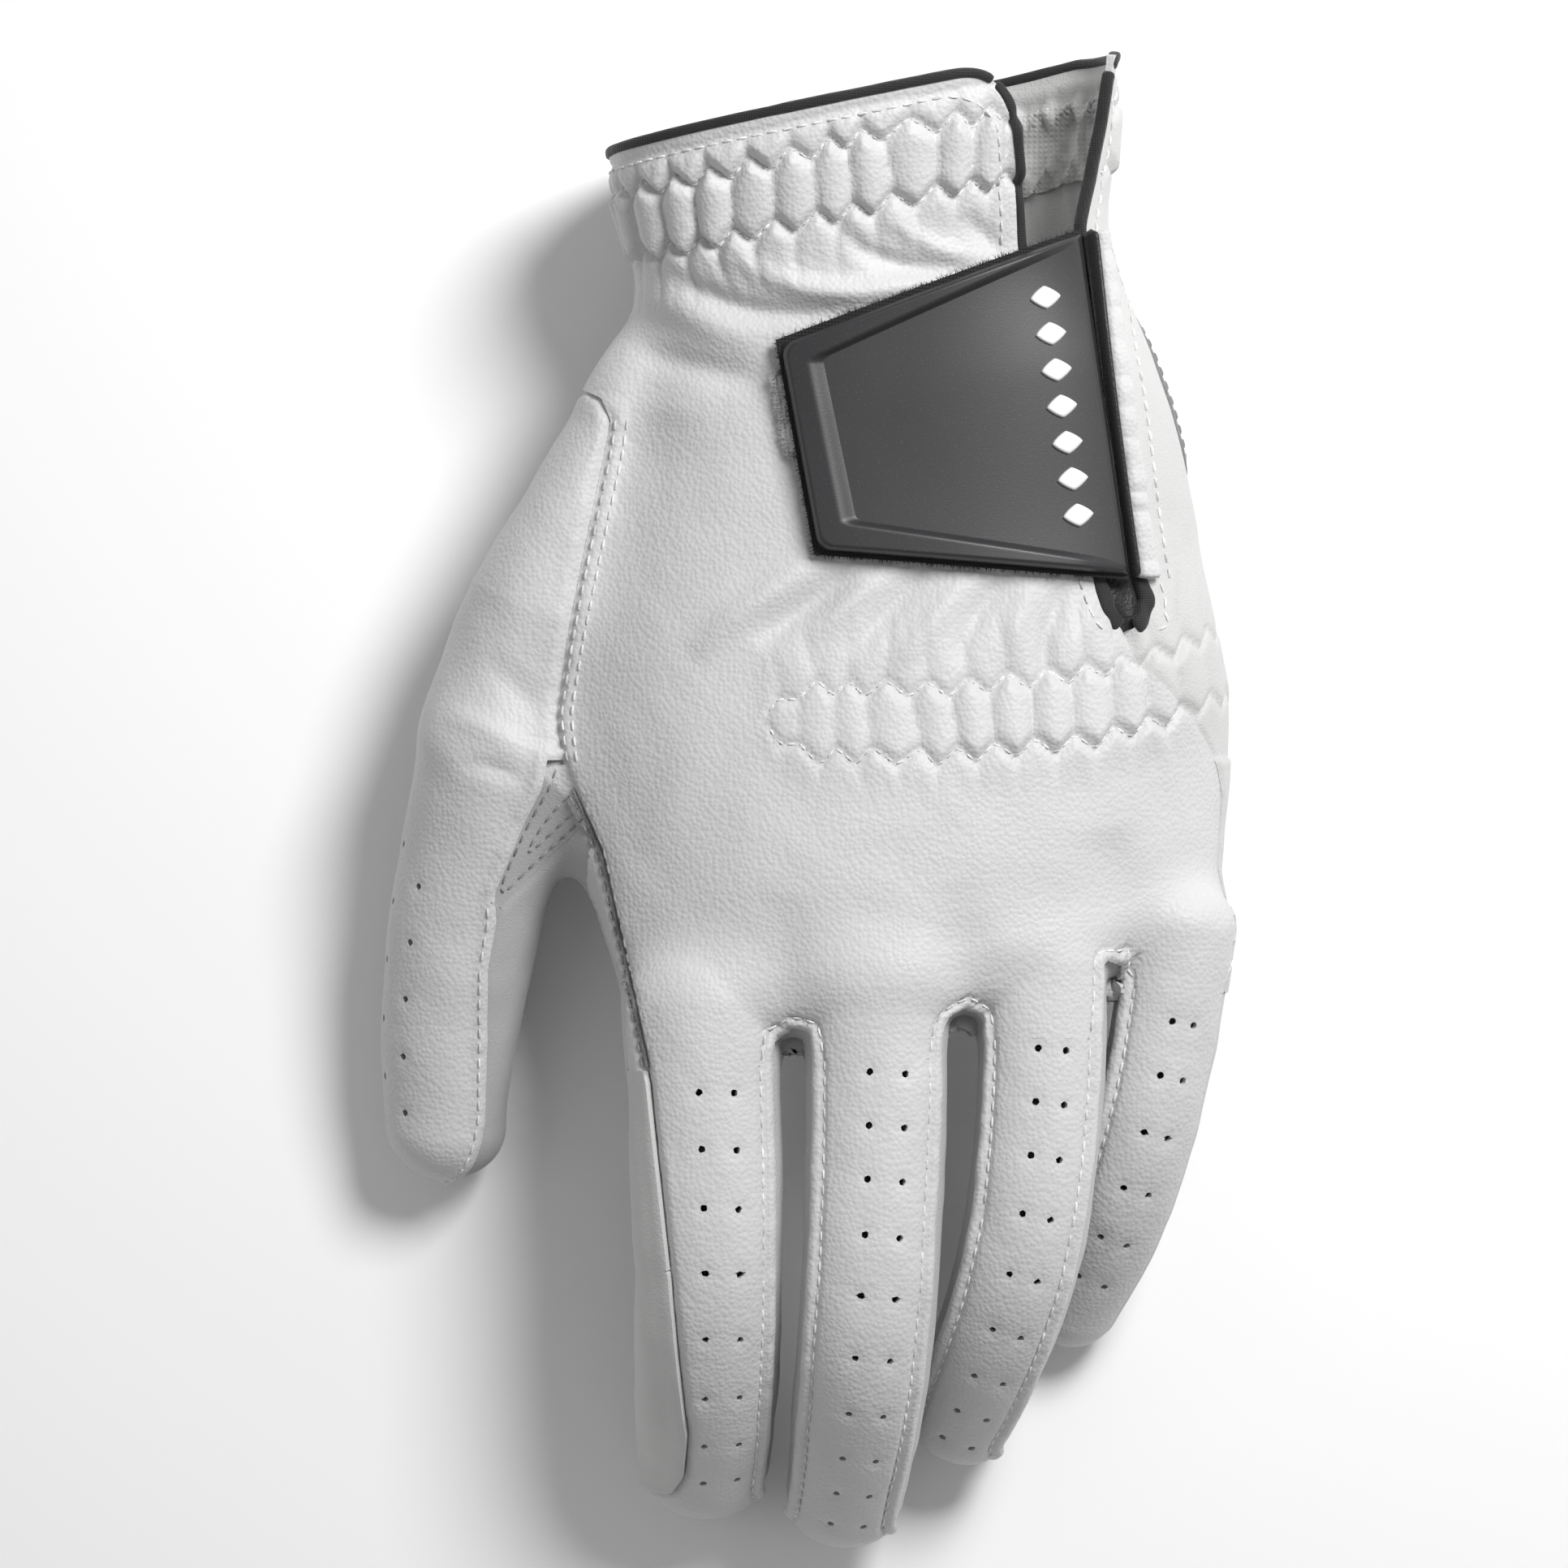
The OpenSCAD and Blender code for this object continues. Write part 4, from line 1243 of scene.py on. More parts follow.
def stitch_row(line, pitch=2.3, length=1.6, thick=0.22, sink=0.12, jitter=0.1):
    """Ends and normals of the thread bars of one row of stitches."""
    points, normals = line
    place = np.concatenate([[0], np.cumsum(np.linalg.norm(np.diff(points, axis=0), axis=1))])
    middles = np.arange(pitch / 2, place[-1] - length / 2, pitch)
    middles = middles + RNG.uniform(-jitter, jitter, len(middles))
    ends = []
    for offset in (-length / 2, length / 2):
        ends.append(np.stack([np.interp(middles + offset, place, points[:, i]) for i in range(3)], 1))
    n = unit(np.stack([np.interp(middles, place, normals[:, i]) for i in range(3)], 1))
    return [(a, b, m, thick, sink) for a, b, m in zip(ends[0], ends[1], n)]


STITCH_SIDES = 7
STITCH_SHAPE = ((-1.0, 0.0, -1.0), (-0.92, 0.6, -0.5), (-0.6, 1.0, 0.1), (0.0, 1.06, 0.35), (0.6, 1.0, 0.1),
                (0.92, 0.6, -0.5), (1.0, 0.0, -1.0))


def thread_object(name, bars, material, body, **words):
    """Short bars of thread that dive into the leather at both ends, all in one object."""
    points, faces = [], []
    turn = np.arange(STITCH_SIDES) * 2 * math.pi / STITCH_SIDES
    for a, b, n, thick, sink in bars:
        along_bar = unit(b - a)
        side = unit(np.cross(along_bar, n))
        first = len(points)
        for t, width, height in STITCH_SHAPE:
            rise = sink + thick * (height if height < 0 else height * 0.5)
            middle = (a + b) / 2 + (b - a) / 2 * t + n * rise
            for angle in turn:
                points.append(middle + thick * width * (math.cos(angle) * side + math.sin(angle) * n))
        rows = len(STITCH_SHAPE)
        for r in range(rows - 1):
            for c in range(STITCH_SIDES):
                p, q = first + r * STITCH_SIDES + c, first + r * STITCH_SIDES + (c + 1) % STITCH_SIDES
                faces.append((p, q, q + STITCH_SIDES, p + STITCH_SIDES))
    return mesh_object(name, np.array(points), faces, material, body, **words)


# ---------------------------------------------------------------- swept strips: bindings and folds

def swept(name, middles, across, out, half_across, half_out, material, body, square=2.6, sides=20, **words):
    """A strip with a rounded section along a line; half sizes may be arrays along it."""
    count = len(middles)
    angle = np.arange(sides) * 2 * math.pi / sides
    c, s = np.cos(angle), np.sin(angle)
    r = (np.abs(c) ** square + np.abs(s) ** square) ** (-1 / square)
    ends = np.minimum(np.arange(count), np.arange(count)[::-1]) / 2.0
    closing = np.sqrt(np.clip(1 - (1 - np.clip(ends, 0, 1)) ** 2, 0.0004, 1))
    wide = (np.zeros(count) + half_across) * closing
    thick = (np.zeros(count) + half_out) * closing
    points = (middles[:, None] + (wide[:, None] * r * c)[..., None] * across[:, None]
              + (thick[:, None] * r * s)[..., None] * out[:, None])
    faces = grid_faces(count, sides, True)
    volume = np.einsum("ij,ij->i", np.cross(across, out), np.gradient(middles, axis=0)).sum()
    faces = faces if volume < 0 else faces[:, ::-1]
    last = (count - 1) * sides
    caps = [tuple(range(sides)), tuple(range(last + sides - 1, last - 1, -1))]
    if volume < 0:
        caps = [cap[::-1] for cap in caps]
    return mesh_object(name, points.reshape(-1, 3), faces.tolist() + caps, material, body, **words)


def edge_binding(name, line, half_width, body, replaces):
    """Fabric folded over a raw edge of leather, half on each face."""
    points, normals = line
    ahead = unit(np.gradient(points, axis=0))
    across = unit(np.cross(ahead, normals))
    middles = points - normals * (LEATHER / 2)
    wobble = 1 + 0.05 * noise3(points, 3.0, 31)
    half_width = mix(FOOT_HALF, half_width, smooth((points[:, 1] - 29) / 7))
    return swept(name, middles, across, normals, half_width * wobble, LEATHER / 2 + 0.42, BINDING, body,
                 square=3.2, replaces=replaces, slot="binding_fabric")


def longest(lines):
    return max(lines, key=lambda line: line_length(line[0]))


def split_line(line, where):
    points, normals = line
    chosen = where(points)
    return [(points[m], normals[m]) for m in (chosen, ~chosen)]


back_skin = moved(hand, back_lift)
palm_skin = moved(hand, palm_lift)
palm_corner = soft_min(hv["cuff"], hv["slit_palm"], 5)
BINDING_HALF = 0.78
# The binding widens into a closed loop at the slit's foot
FOOT_HALF = 1.35
# The free edges' fields are only true above the slit's foot
above_foot = hand.p[:, 1] - SLIT_FOOT - 0.6
beside_slit = np.minimum(hand.values["smooth_normal"][:, 2] * 10 + 4, hand.p[:, 0] - 14)
true_edge = np.minimum(above_foot, np.where(hv["cuff"] < 8, 5, beside_slit))
back_free = longest(contour(back_skin, back_corner, 0, np.minimum(back_keep + 0.5, true_edge)))
palm_free = longest(contour(palm_skin, palm_corner, 0, np.minimum(palm_field(hv) + 0.5, true_edge)))


def on_cuff(points):
    return cuff_edge(points[:, 0]) - points[:, 1] < 2.2


for free_edge, cuff_name, slit_name in ((back_free, "cuff_binding_back", "slit_binding_back"),
                                        (palm_free, "cuff_binding_palm", "slit_binding_palm")):
    cuff_line, slit_line = split_line(free_edge, on_cuff)
    edge_binding(cuff_name, cuff_line, BINDING_HALF, "hand", (cuff_name,))
    edge_binding(slit_name, slit_line, BINDING_HALF, "hand", (slit_name,))


# ---------------------------------------------------------------- elastics, heel patch and slit stay

def lining_strip(name, keep, depth, thickness, material, slot="elastic_fabric"):
    lift = hv["relief"] * 0.8 - LEATHER - depth
    return cut_piece(name, hand, lift, np.minimum(keep, on_hand), thickness, material, "hand",
                     replaces=(name,), slot=slot)


ELASTIC_HALF = 6.2
cuff_u, cuff_w = cuff_coordinates(hand.p, hv["hand_turn"])
knuckle_u, knuckle_w = knuckle_coordinates(hand.p, hv["hand_turn"])
cuff_strip = ELASTIC_HALF - np.abs(cuff_w)
lining_strip("wrist_elastic_back", np.minimum(cuff_strip, back_keep - 3), 0.1, 0.8, ELASTIC)
lining_strip("wrist_elastic_palm", np.minimum(cuff_strip, palm_field(hv) - 3), 0.1, 0.8, ELASTIC)
knuckle_strip = np.minimum.reduce([ELASTIC_HALF - np.abs(knuckle_w), back_keep - 3, hand.p[:, 0] + 6,
                                   (hand.values["smooth_normal"][:, 2] - 0.1) * 30])
lining_strip("knuckle_elastic", knuckle_strip, 0.1, 0.8, ELASTIC)
foot_gap = 9.5 - np.hypot(hand.p[:, 0] - 46.8, (hand.p[:, 1] - 24) * 0.9)
stay_keep = np.where(hand.values["smooth_normal"][:, 2] > 0, foot_gap, -5)
lining_strip("slit_stay", stay_keep, 0.15, 0.7, BLACK_LEATHER, "accent_leather")

# The patch on the palm's heel wraps up to the little finger's side
HEEL_Y = (48.5, 74.5)
HEEL_TURN = (268, 356)
heel_turn = (hv["hand_turn"] - 90) % 360 + 90
heel_keep = np.minimum(hand.p[:, 1] - HEEL_Y[0], HEEL_Y[1] - hand.p[:, 1])
heel_keep = soft_min(heel_keep, np.minimum(heel_turn - HEEL_TURN[0], HEEL_TURN[1] - heel_turn) * 0.5, 6)
heel_keep = np.minimum(heel_keep, on_hand)
heel_lift = hv["relief"] + 0.75 - 0.35 * bump(heel_keep, 0.8)
heel_skin = moved(hand, heel_lift)
cut_piece("palm_heel_patch", hand, heel_lift, heel_keep, 0.7, ACCENT, "hand",
          replaces=("palm_heel_patch",), slot="accent_leather")


# ---------------------------------------------------------------- closure tab

TAB_FREE_TOP, TAB_FREE_BOTTOM = np.array([-4.0, 67.8]), np.array([1.6, 37.3])
TAB_HINGE_BOTTOM, TAB_HINGE_TOP = np.array([48.0, 33.6]), np.array([40.8, 84.7])
TAB_LIFT = 1.3
HOOK_T = 0.8
TAB_T = 1.5
TAB_LOW = TAB_LIFT + HOOK_T
RUBBER_EDGE = 0.9
# The rim stands above the inner panel, and slopes down to it over these widths
RIM_RISE = 1.15
FREE_BEVEL = 3.4
SIDE_BEVEL = 1.3
PANEL_LIFT = 0.15


def hand_top(x, y):
    """Height of the smooth back of the hand above a place in plan."""
    cx, cz, a, b, droop = hand_section(hand_share(x, y))
    share = np.clip(np.abs(x - cx) / a, 0, 0.995)
    return cz + b * (1 - share**SQUARENESS) ** (1 / SQUARENESS) - droop * (x - ARCH_X) ** 2


def four_sided(corners, along_share, across_share):
    free_top, free_bottom, hinge_bottom, hinge_top = corners
    free = mix(free_bottom, free_top, across_share[..., None])
    hinge = mix(hinge_bottom, hinge_top, across_share[..., None])
    return mix(free, hinge, along_share[..., None])


def side_distance(place, start, end):
    """Distance to the left of the line from start to end."""
    d = unit(np.asarray(end) - start)
    return d[0] * (place[..., 1] - start[1]) - d[1] * (place[..., 0] - start[0])


def clustered(count):
    return (1 - np.cos(np.pi * np.arange(count) / (count - 1))) / 2


def slab(name, top, bottom, material, body, **words):
    """A closed piece between two grids of points, the top one seen from above."""
    rows, cols = top.shape[:2]
    count = rows * cols
    ring = np.concatenate([np.arange(cols), np.arange(1, rows) * cols + cols - 1,
                           (rows - 1) * cols + np.arange(cols - 2, -1, -1),
                           np.arange(rows - 2, 0, -1) * cols])
    after = np.roll(ring, -1)
    wall = np.vstack([np.stack([ring, after, after + count], 1),
                      np.stack([ring, after + count, ring + count], 1)])
    face = grid_faces(rows, cols, False)
    faces = np.vstack([face, face[:, ::-1] + count, wall[:, ::-1]])
    points = np.vstack([top.reshape(-1, 3), bottom.reshape(-1, 3)])
    first = points[faces[0]]
    if np.cross(first[1] - first[0], first[2] - first[0])[2] < 0:
        faces = faces[:, ::-1]
    return mesh_object(name, points, faces, material, body, **words)


def tab_sheet(name, corners, low, height, material, counts=(120, 120), reach=1.0, body="closure_tab",
              **words):
    """A sheet over the hand, low above it; height(plan place, distances from its edges) is its top.

    reach is the share of the way from the free end to the hinge that it covers.
    """
    spread_share = [clustered(n) for n in counts]
    along_share, across_share = np.meshgrid(spread_share[0] * reach, spread_share[1], indexing="ij")
    place = four_sided(corners, along_share, across_share)
    free_top, free_bottom, hinge_bottom, hinge_top = corners
    edges = [side_distance(place, free_top, free_bottom), side_distance(place, free_bottom, hinge_bottom),
             side_distance(place, hinge_top, free_top)]
    end = mix(free_bottom, hinge_bottom, reach), mix(free_top, hinge_top, reach)
    edges.append(side_distance(place, *end))
    base = hand_top(place[..., 0], place[..., 1])
    top = np.dstack([place, base + low + height(place, [np.maximum(e, 0) for e in edges])])
    bottom = np.dstack([place, base + low + 0 * base])
    return slab(name, top, bottom, material, body, **words)


def round_edge(d, r, thickness):
    return thickness * np.sqrt(np.clip(1 - (1 - np.clip(d / r, 0, 1)) ** 2, 0, 1))


TAB = (TAB_FREE_TOP, TAB_FREE_BOTTOM, TAB_HINGE_BOTTOM, TAB_HINGE_TOP)


PANEL = (np.array([-0.4, 65.6]), np.array([4.7, 41.0]), np.array([47.6, 34.7]), np.array([40.4, 84.0]))


def rubber_height(place, edges):
    edge = soft_min(edges[0], soft_min(edges[1], edges[2], 2.0), 2.0)
    free_side = side_distance(place, PANEL[0], PANEL[1]) / FREE_BEVEL
    long_sides = np.minimum(side_distance(place, PANEL[1], PANEL[2]),
                            side_distance(place, PANEL[3], PANEL[0]))
    sunk = smooth(soft_min(free_side, long_sides / SIDE_BEVEL, 0.5))
    rim_top = TAB_T + RIM_RISE * (1 - sunk) * smooth((edges[3] + 1) / 9)
    return round_edge(edge, RUBBER_EDGE, rim_top) * round_edge(edges[3], 0.8, 1)


def panel_height(place, edges):
    return 0.3 + PANEL_LIFT * round_edge(np.minimum.reduce(edges), 0.5, 1)


tab_sheet("tab_shell", TAB, TAB_LOW, rubber_height, RUBBER, counts=(170, 150), replaces=("tab_shell",),
          slot="tab_rubber")
tab_sheet("tab_panel", PANEL, TAB_LOW + TAB_T - 0.3, panel_height, PANEL_RUBBER, counts=(60, 60),
          replaces=("tab_panel",), slot="tab_rubber")


def hook_height(place, edges):
    return HOOK_T - 0.02 + 0 * edges[0]


def loop_height(place, edges):
    flat = np.dstack([place, 0 * place[..., :1]]).reshape(-1, 3)
    fluff = noise3(flat, 0.9, 41).reshape(edges[0].shape)
    return 0.45 * round_edge(np.minimum.reduce(edges), 0.9, 1) + 0.08 * fluff


HOOK = (TAB_FREE_TOP + (-0.75, 0.75), TAB_FREE_BOTTOM + (-0.6, -0.75), TAB_HINGE_BOTTOM + (0, -0.7),
        TAB_HINGE_TOP + (0, 0.7))
tab_sheet("tab_hook_patch", HOOK, TAB_LIFT, hook_height, HOOK_FABRIC, counts=(50, 50),
          replaces=("tab_hook_patch",), slot="hook_fabric")
LOOP_CORNERS = (np.array([-5.0, 63.4]), np.array([-2.9, 51.5]),
                TAB_HINGE_BOTTOM + (-2, 8), TAB_HINGE_TOP + (-2, -8))
tab_sheet("loop_patch", LOOP_CORNERS, 0.35, loop_height, LOOP, counts=(90, 60), reach=0.5, body="hand",
          replaces=("loop_patch",), slot="loop_fabric")

PIP_COUNT = 7
PIP_HALF = (2.35, 1.75)
PIP_T = 0.75
# Share of a lozenge's reach that is flat on top
PIP_FLAT = 0.72
PIP_RINGS = (0.0, 0.45, 0.7, 0.82, 0.9, 0.96, 1.0)


def tab_pips():
    """A row of plain lozenges with rounded edges, beside the hinge."""
    points, faces = [], []
    turn = np.radians(np.arange(0, 360, 9))
    across, along_pip = np.abs(np.cos(turn) / PIP_HALF[0]), np.abs(np.sin(turn) / PIP_HALF[1])
    reach = (across**1.25 + along_pip**1.25) ** (-0.8)
    foot, head = (mix(PANEL[2], PANEL[1], 0.145), mix(PANEL[3], PANEL[0], 0.145))
    lean = math.radians(8)
    for k in range(PIP_COUNT):
        place = mix(foot, head, mix(0.15, 0.86, k / (PIP_COUNT - 1)))
        for r in PIP_RINGS[::-1] + (1.0,):
            below = len(points) % (len(turn) * (len(PIP_RINGS) + 1)) == len(turn) * len(PIP_RINGS)
            x = reach * r * np.cos(turn)
            y = reach * r * np.sin(turn)
            px = place[0] + x * math.cos(lean) - y * math.sin(lean)
            py = place[1] + x * math.sin(lean) + y * math.cos(lean)
            rise = 0 if below else PIP_T * math.sqrt(max(1 - (max(r - PIP_FLAT, 0) / (1 - PIP_FLAT)) ** 2, 0))
            z = hand_top(px, py) + TAB_LOW + TAB_T + PANEL_LIFT - 0.05 + rise
            points.extend(np.stack([px, py, z], 1))
    rings = len(PIP_RINGS) + 1
    for k in range(PIP_COUNT):
        first = k * rings * len(turn)
        for ring in range(rings - 2):
            for c in range(len(turn)):
                d = (c + 1) % len(turn)
                p, q = first + ring * len(turn) + c, first + ring * len(turn) + d
                faces.append((p, q, q + len(turn), p + len(turn)))
        last = first + (rings - 1) * len(turn)
        faces.append(tuple(range(last + len(turn) - 1, last - 1, -1)))
    return mesh_object("tab_pips", np.array(points), faces, PIP, "closure_tab",
                       replaces=("tab_pips",), slot="pip_rubber")


tab_pips()

# The leather strip at the hinge: a fold from the tab's edge down to the hand
HINGE_BOTTOM, HINGE_TOP = np.array([48.0, 33.0]), np.array([40.7, 85.4])


def beside_hinge(offset, count):
    """Places along the hinge line, offset mm to its right, and the frame of a strip there."""
    share = np.linspace(0, 1, count)
    place = mix(HINGE_BOTTOM, HINGE_TOP, share[:, None]) + np.stack([offset + 0 * share, 0 * share], 1)
    base = hand_top(place[:, 0], place[:, 1])
    ahead_line = unit(np.gradient(np.column_stack([place, base]), axis=0))
    slope = hand_top(place[:, 0] + 0.5, place[:, 1]) - hand_top(place[:, 0] - 0.5, place[:, 1])
    across = unit(np.stack([np.ones(count), np.zeros(count), slope], 1))
    out = unit(np.cross(across, ahead_line) * np.sign(np.cross(across, ahead_line)[:, 2:3]))
    return share, np.column_stack([place, base]), across, out


share, line, across_hinge, out_hinge = beside_hinge(0.1, 90)
swept("tab_hinge_strip", line + out_hinge * (TAB_LIFT + 0.95), across_hinge, out_hinge, 0.55, 1.4,
      BLACK_LEATHER, "closure_tab", replaces=("tab_hinge_strip",), slot="binding_fabric")

share, line, across_hinge, out_hinge = beside_hinge(2.45, 220)
fold_half = mix(1.75, 1.35, share)
pleat = 0.22 * np.abs(np.sin(share * 34 + 2 * noise3(line, 6, 51))) + 0.12 * noise3(line, 2.5, 52)
sway = 0.3 * noise3(line, 5, 53)
roll_line = line + out_hinge * (1.1 + pleat * 0.4)[:, None] + across_hinge * sway[:, None]
swept("anchor_fold", roll_line, across_hinge, out_hinge, fold_half + pleat * 0.8, 1.15 + pleat, BACK, "hand",
      square=2.1, sides=28, replaces=("anchor_fold",), slot="back_leather")


# ---------------------------------------------------------------- stitching

palm_tree = BVHTree.FromPolygons([Vector(p) for p in palm_skin.p], palm_skin.f.tolist())


def on_leather(tree, points):
    """The nearest places on a skin, with their normals."""
    hits = [tree.find_nearest(Vector(p)) for p in points]
    return np.array([h[0] for h in hits]), np.array([h[1] for h in hits])


share, line, across_hinge, out_hinge = beside_hinge(6.3, 120)
line = line + across_hinge * (np.where(share > 0.5, mix(0, -1.4, share * 2 - 1), 0))[:, None]
anchor_line = even_line(*on_leather(palm_tree, line + out_hinge))
thread_object("anchor_stitches", stitch_row(anchor_line), THREAD, "hand",
              replaces=("anchor_stitches",), slot="thread")


def rows_of(skin, field, levels, inside, **words):
    bars = []
    for level in levels:
        for line in contour(skin, field, level, inside):
            bars += stitch_row(line, **words)
    return bars


SMALL_STITCH = {"pitch": 1.9, "length": 1.3, "thick": 0.17, "sink": 0.05}
zigzag = CUFF_ZIG * triangle_wave(cuff_u, CUFF_PITCH)
spread_half = knuckle_half(hand.p[:, 0])
knuckle_zigzag = KNUCKLE_ZIG * triangle_wave(knuckle_u, KNUCKLE_PITCH)
top_side = (hand.values["smooth_normal"][:, 2] + 0.3) * 10
in_knuckles = np.minimum.reduce([back_keep - 1, hand.p[:, 0] + 6, 60 - hand.p[:, 0], top_side])
cuff_bars = []
for skin, keep, corner in ((back_skin, back_keep, back_corner), (palm_skin, palm_field(hv), palm_corner)):
    cuff_bars += rows_of(skin, cuff_w - zigzag, (CUFF_HALF,), keep - 1.5, **SMALL_STITCH)
    cuff_bars += rows_of(skin, -cuff_w - zigzag, (CUFF_HALF,), keep - 1.5, **SMALL_STITCH)
    cuff_bars += rows_of(skin, corner, (BINDING_HALF + 2.3,), np.minimum(keep - 1.5, true_edge), thick=0.18)
thread_object("cuff_stitches", cuff_bars, THREAD, "hand", replaces=("cuff_stitches",), slot="thread")
knuckle_bars = []
for sign in (1, -1):
    field = sign * knuckle_w - knuckle_zigzag - spread_half
    knuckle_bars += rows_of(back_skin, field, (0,), in_knuckles, **SMALL_STITCH)
thread_object("knuckle_stitches", knuckle_bars, THREAD, "hand", slot="thread")

wrist_part = np.minimum(hand.p[:, 1] - 4, 57.5 - hand.p[:, 1])
seam_bars = rows_of(back_skin, hv["radial"], (0.95, 2.6), np.minimum(wrist_part, back_keep), thick=0.18)
seam_bars += rows_of(back_skin, hv["side_back"], (2.4,), np.minimum(back_keep - 0.5, on_hand), thick=0.17)
thread_object("wrist_seam_stitches", seam_bars, THREAD, "hand",
              replaces=("wrist_seam_stitches",), slot="thread")
raw_part = np.minimum.reduce([2 - hand.p[:, 1], on_hand, top_side, -8 - hand.p[:, 0]])
raw_bars = rows_of(palm_skin, -hv["radial"], (-1.8, 0.7), raw_part, thick=0.17)
gusset_bars = rows_of(gusset_skin, gusset, (0.9, 2.5), gusset_keep, thick=0.17)
gusset_threads = thread_object("gusset_stitches", gusset_bars, GREY_THREAD, None, slot="thread")
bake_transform(gusset_threads)
raw_bars += rows_of(heel_skin, heel_keep, (1.8,), heel_keep, thick=0.18)
thread_object("palm_stitches", raw_bars, GREY_THREAD, "hand", slot="thread")

for name, rows in finger_seams.items():
    start_bend, end_bend = BENDS[name]
    for half in ("base", "tip"):
        bars = []
        for skin, s, start, field, levels, inside in rows:
            here = np.minimum(start, start_bend - s) if half == "base" else s - start_bend
            bars += rows_of(skin, field, levels, np.minimum(inside, here), thick=0.17)
        if bars:
            threads = thread_object(f"{name}_stitches_{half}", bars, THREAD, None, slot="thread")
            bend_digit(threads, name, half)


# ---------------------------------------------------------------- fibres at cut cloth edges

def fibre_object(name, roots, directions, lengths, thick, material, body, slot):
    """Fine hairs, each a thin bent spike of three sides."""
    points, faces = [], []
    for root, direction, length in zip(roots, directions, lengths):
        side = unit(np.cross(direction, [0.3, 0.2, 1.0]))
        up = np.cross(side, direction)
        bend = RNG.normal(0, 0.25, 3) * length
        first = len(points)
        for t, width in ((0, 1.0), (0.55, 0.8), (1.0, 0.15)):
            middle = root + direction * length * t + bend * t * t
            for angle in (0.0, 2.1, 4.2):
                points.append(middle + thick * width * (math.cos(angle) * side + math.sin(angle) * up))
        for r in range(2):
            for c in range(3):
                p, q = first + 3 * r + c, first + 3 * r + (c + 1) % 3
                faces.append((p, q, q + 3, p + 3))
        faces.append((first + 6, first + 7, first + 8))
    return mesh_object(name, np.array(points), faces, material, body, slot=slot)


def edge_fibres(name, corners_line, low, high, count, lengths, thick, material, body, slot):
    """Hairs that stand out of a sheet's outer edge along a line of plan places, round its left side."""
    corners_line = np.array(corners_line)
    steps = np.linalg.norm(np.diff(corners_line, axis=0), axis=1)
    place = np.concatenate([[0], np.cumsum(steps)])
    t = np.sort(RNG.uniform(0, place[-1], count))
    xy = np.stack([np.interp(t, place, corners_line[:, i]) for i in range(2)], 1)
    after, before = (np.stack([np.interp(t + step, place, corners_line[:, i]) for i in range(2)], 1)
                     for step in (0.01, -0.01))
    ahead_line = unit(after - before)
    outward = np.stack([-ahead_line[:, 1], ahead_line[:, 0], RNG.normal(0.1, 0.35, count)], 1)
    outward[:, :2] *= -1 if side_distance(np.array([20.0, 60.0]), corners_line[0], corners_line[1]) > 0 else 1
    outward[:, :2] += RNG.normal(0, 0.4, (count, 2))
    z = hand_top(xy[:, 0], xy[:, 1]) + RNG.uniform(low, high, count)
    roots = np.column_stack([xy, z]) - unit(outward) * 0.2
    fibre_object(name, roots, unit(outward), RNG.uniform(*lengths, count), thick, material, body, slot)


edge_fibres("hook_fringe", [HOOK[3], HOOK[0], HOOK[1], HOOK[2]], TAB_LIFT, TAB_LIFT + HOOK_T, 1100,
            (0.35, 0.95), 0.05, HOOK_FABRIC, "closure_tab", "hook_fabric")
LOOP_FREE_EDGE = [LOOP_CORNERS[0] + (2, 0.4), LOOP_CORNERS[0], LOOP_CORNERS[1], LOOP_CORNERS[1] + (2, -0.2)]
edge_fibres("loop_fringe", LOOP_FREE_EDGE,
            0.2, 1.1, 1500, (0.3, 1.2), 0.045, LOOP, "hand", "loop_fabric")


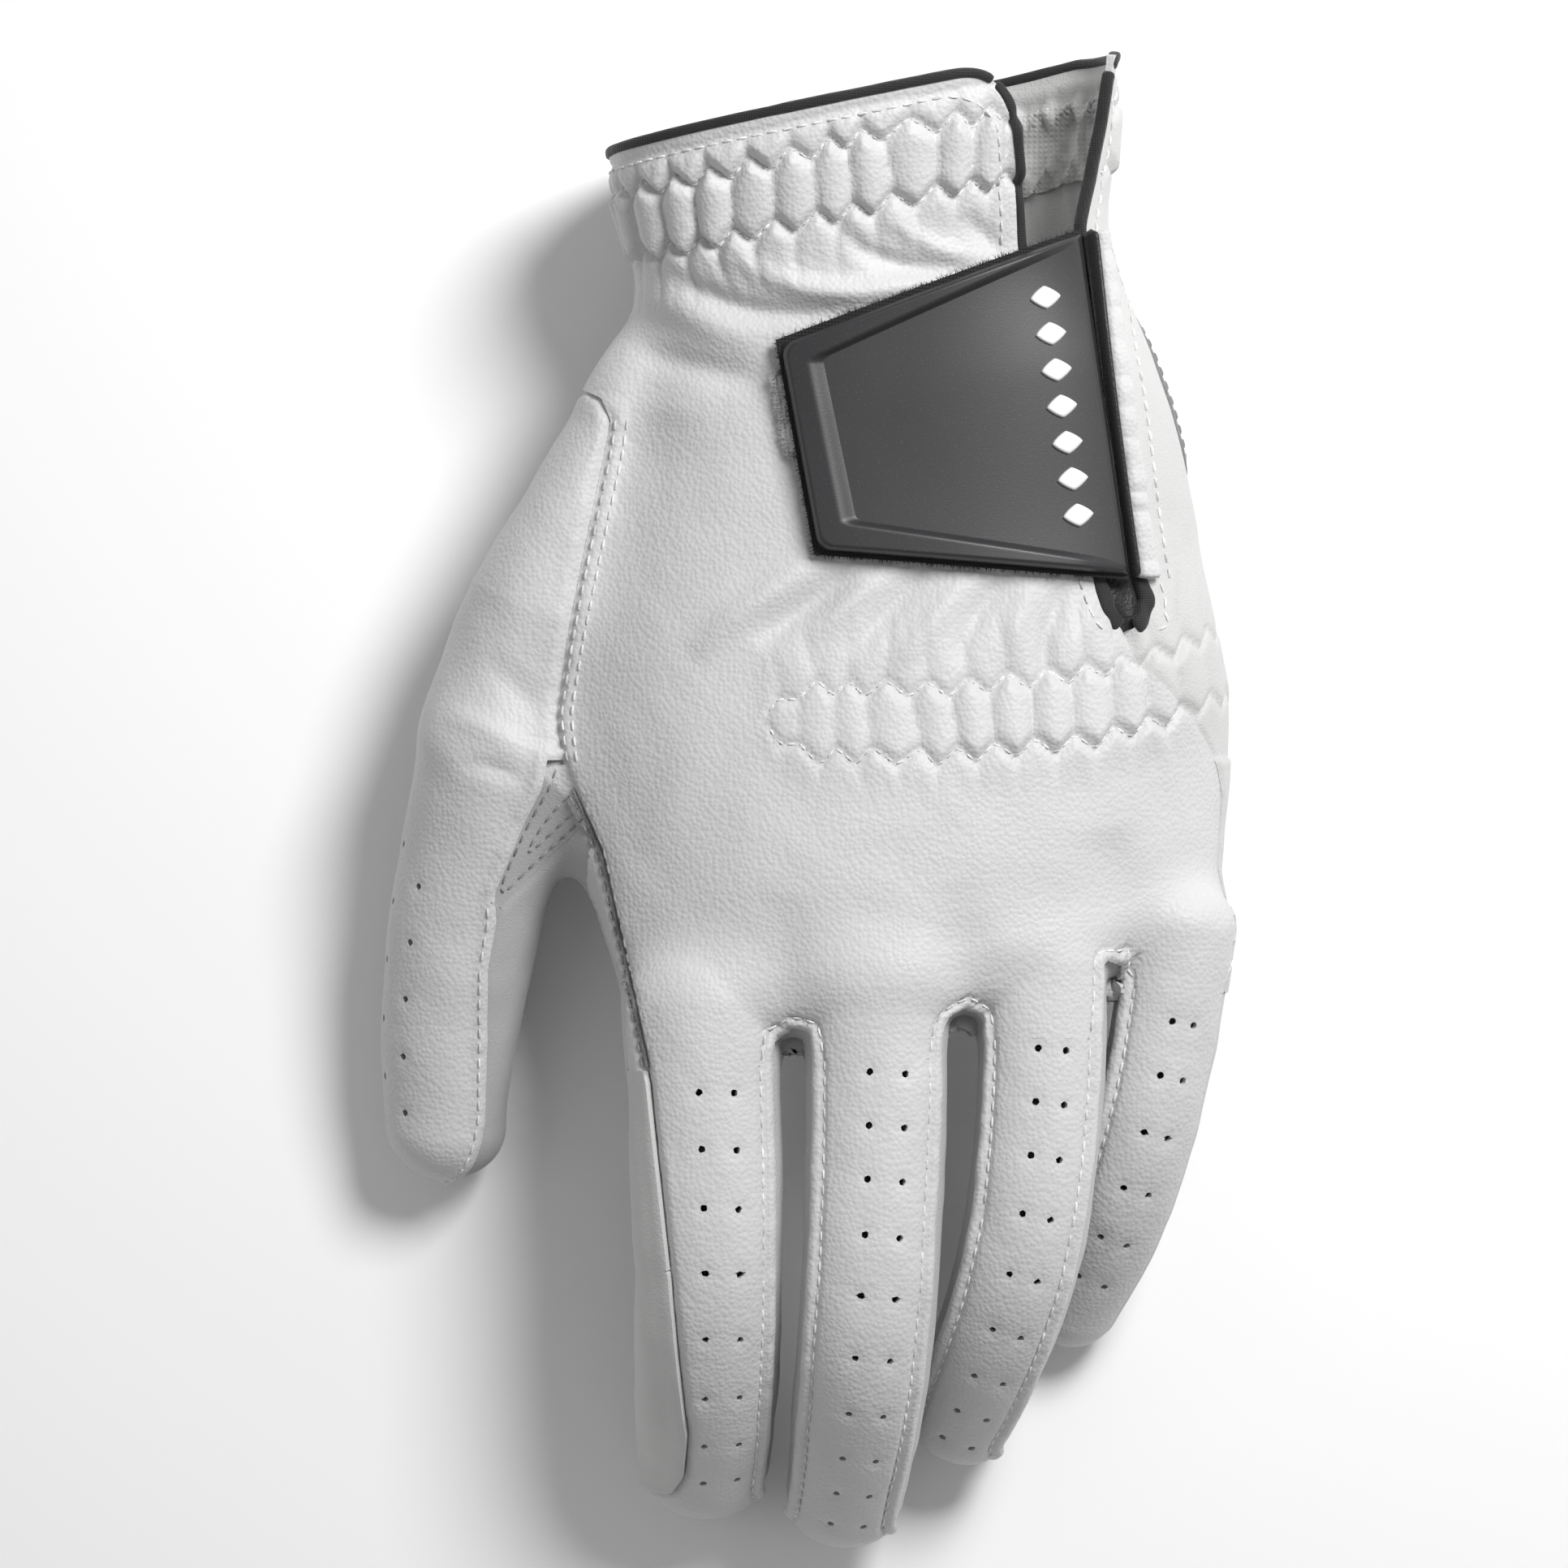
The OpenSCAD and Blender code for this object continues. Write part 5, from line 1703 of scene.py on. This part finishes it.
def raw_edge(name, skin, field, inside):
    """The grey cut edge of the leather that laps over the back, and its loose fibres."""
    pieces = []
    for k, (points, normals) in enumerate(contour(skin, field, 0, inside)):
        across = unit(np.cross(unit(np.gradient(points, axis=0)), normals))
        fray = 0.3 + 0.08 * noise3(points, 1.1, 61)
        pieces.append(swept(f"{name}_edge_{k}", points - normals * 0.35, across, normals, fray, 0.42,
                            RAW_EDGE, None, slot="palm_leather"))
        count = int(line_length(points) * 9)
        pick = RNG.integers(0, len(points), count)
        directions = unit(across[pick] * RNG.choice([-1, 1], count)[:, None] + RNG.normal(0, 0.6, (count, 3)))
        roots = points[pick] - normals[pick] * RNG.uniform(0, 0.7, (count, 1))
        lengths = RNG.uniform(0.25, 0.8, count)
        pieces.append(fibre_object(f"{name}_fuzz_{k}", roots, directions, lengths, 0.035, LOOP, None,
                                   "palm_leather"))
    return pieces


for piece in raw_edge("palm_raw", palm_skin, -hv["radial"], raw_part):
    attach(piece, "hand")
index_skin, index_s, index_start, index_field, _, index_inside = finger_seams["index"][1]
BEND_START = BENDS["index"][0]
for half, here in (("base", np.minimum(index_start, BEND_START - index_s)), ("tip", index_s - BEND_START)):
    for piece in raw_edge(f"index_raw_{half}", index_skin, index_field, np.minimum(index_inside, here)):
        bend_digit(piece, "index", half)


# ---------------------------------------------------------------- floor, light and camera

def plain_material(name, colour, roughness):
    return node_material(name, colour, roughness)[0]


def floor():
    size = 900
    points = [(-size, -size, 0), (size, -size, 0), (size, size, 0), (-size, size, 0)]
    obj = mesh_object("floor", points, [(0, 1, 2, 3)], plain_material("floor", (0.97, 0.97, 0.97), 0.9), None)


def soft_light(name, place, aim, size, power):
    light = bpy.data.lights.new(name, "AREA")
    light.shape = "DISK"
    light.size = size
    light.energy = power
    obj = bpy.data.objects.new(name, light)
    bpy.context.scene.collection.objects.link(obj)
    obj.location = place
    obj.rotation_euler = (Vector(aim) - Vector(place)).to_track_quat("-Z", "Y").to_euler()


def camera_above(centre, width, distance):
    """A long lens straight above the glove, with the photo's framing."""
    data = bpy.data.cameras.new("camera")
    data.sensor_width = 36
    data.lens = 36 * distance / width
    data.clip_end = 10
    obj = bpy.data.objects.new("camera", data)
    bpy.context.scene.collection.objects.link(obj)
    obj.location = (centre[0], centre[1], distance + centre[2])
    bpy.context.scene.camera = obj


floor()
world = bpy.data.worlds.new("studio")
world.use_nodes = True
world.node_tree.nodes["Background"].inputs["Color"].default_value = (1, 1, 1, 1)
world.node_tree.nodes["Background"].inputs["Strength"].default_value = 0.29
bpy.context.scene.world = world
soft_light("key", (0.315, 0.39, 0.575), (0.01, 0, 0.02), 0.3, 5.9)
soft_light("fill", (-0.5, -0.1, 0.6), (0, 0, 0.02), 0.5, 0.3)
camera_above((-0.0035, 0.0024, 0.03), 0.2357, 1.6)
bpy.context.scene.view_settings.view_transform = "Standard"
